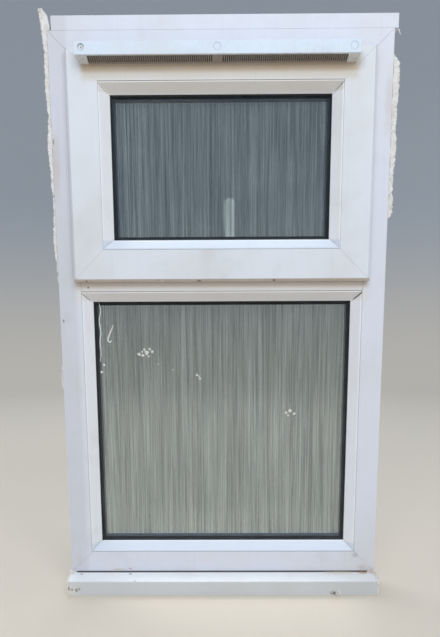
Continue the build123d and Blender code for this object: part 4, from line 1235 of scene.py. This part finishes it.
def lamp(name, place, aim, size, watts):
    """A soft rectangular lamp."""
    data = bpy.data.lights.new(name, "AREA")
    data.shape = "RECTANGLE"
    data.size, data.size_y = size
    data.energy = watts
    data.color = LIGHT_COLOUR
    piece = linked(name, data)
    piece.location = place
    piece.rotation_mode = "QUATERNION"
    piece.rotation_quaternion = (Vector(aim) - Vector(place)).to_track_quat("-Z", "Y")


def sky():
    """Even pale light from all round."""
    world = bpy.data.worlds.new("world")
    bpy.context.scene.world = world
    world.use_nodes = True
    background = world.node_tree.nodes["Background"]
    background.inputs["Color"].default_value = (*SKY, 1.0)
    background.inputs["Strength"].default_value = SKY_STRENGTH


def studio():
    """Pale floor that curves up into a plain wall all round, a soft main light and a rear one."""
    material = stage_look()
    turned_surface("floor", [(radius, 0) for radius in FLOOR_RINGS], material)
    bend = []
    for degrees in range(0, 91, WALL_ROUND_STEP):
        turn = math.radians(degrees)
        bend.append((FLOOR_RADIUS + WALL_ROUND * math.sin(turn), WALL_ROUND * (1 - math.cos(turn))))
    wall = turned_surface("wall", bend + [(FLOOR_RADIUS + WALL_ROUND, WALL_TOP)], material)
    wall.visible_shadow = False
    wall.visible_diffuse = False
    sky()
    lamp("main_light", **MAIN_LIGHT)
    lamp("rear_light", **REAR_LIGHT)


def camera_axes():
    """The camera's right, top and forward directions, from its yaw, pitch and roll."""
    pitch, yaw, roll = (math.radians(angle) for angle in (CAMERA_PITCH, CAMERA_YAW, CAMERA_ROLL))
    level = Vector((math.cos(yaw), -math.sin(yaw), 0))
    ahead = math.cos(pitch)
    forward = Vector((math.sin(yaw) * ahead, math.cos(yaw) * ahead, math.sin(pitch)))
    upward = level.cross(forward)
    right = level * math.cos(roll) + upward * math.sin(roll)
    return right, upward * math.cos(roll) - level * math.sin(roll), forward


def place_camera():
    """The camera at the photograph's place."""
    data = bpy.data.cameras.new("camera")
    data.sensor_width = SENSOR
    data.lens = FOCAL_PIXELS * SENSOR / IMAGE_HEIGHT
    data.shift_x = (IMAGE_WIDTH / 2 - CENTRE_PIXEL[0]) / IMAGE_HEIGHT
    data.shift_y = (CENTRE_PIXEL[1] - IMAGE_HEIGHT / 2) / IMAGE_HEIGHT
    data.clip_start = NEAREST
    data.clip_end = FARTHEST
    camera = linked("camera", data)
    right, top, forward = camera_axes()
    turned = Matrix((right, top, -forward)).transposed().to_4x4()
    camera.matrix_world = Matrix.Translation(CAMERA_PLACE) @ turned
    bpy.context.scene.camera = camera
    bpy.context.scene.view_settings.view_transform = "Standard"


dress_cad()
streaked_pane("fixed_inner_pane", 3.0)
streaked_pane("sash_inner_pane", 13.0)
torn("sealant_left", 1.0)
torn("sealant_right", 21.0)
for screws in ("vent_screws", "frame_hardware_screws", "sash_hardware_screws"):
    round_screws(screws)
round_screws("handle_screws", countersunk=False)
glass_marks()
mastic_crumbs()
studio()
place_camera()
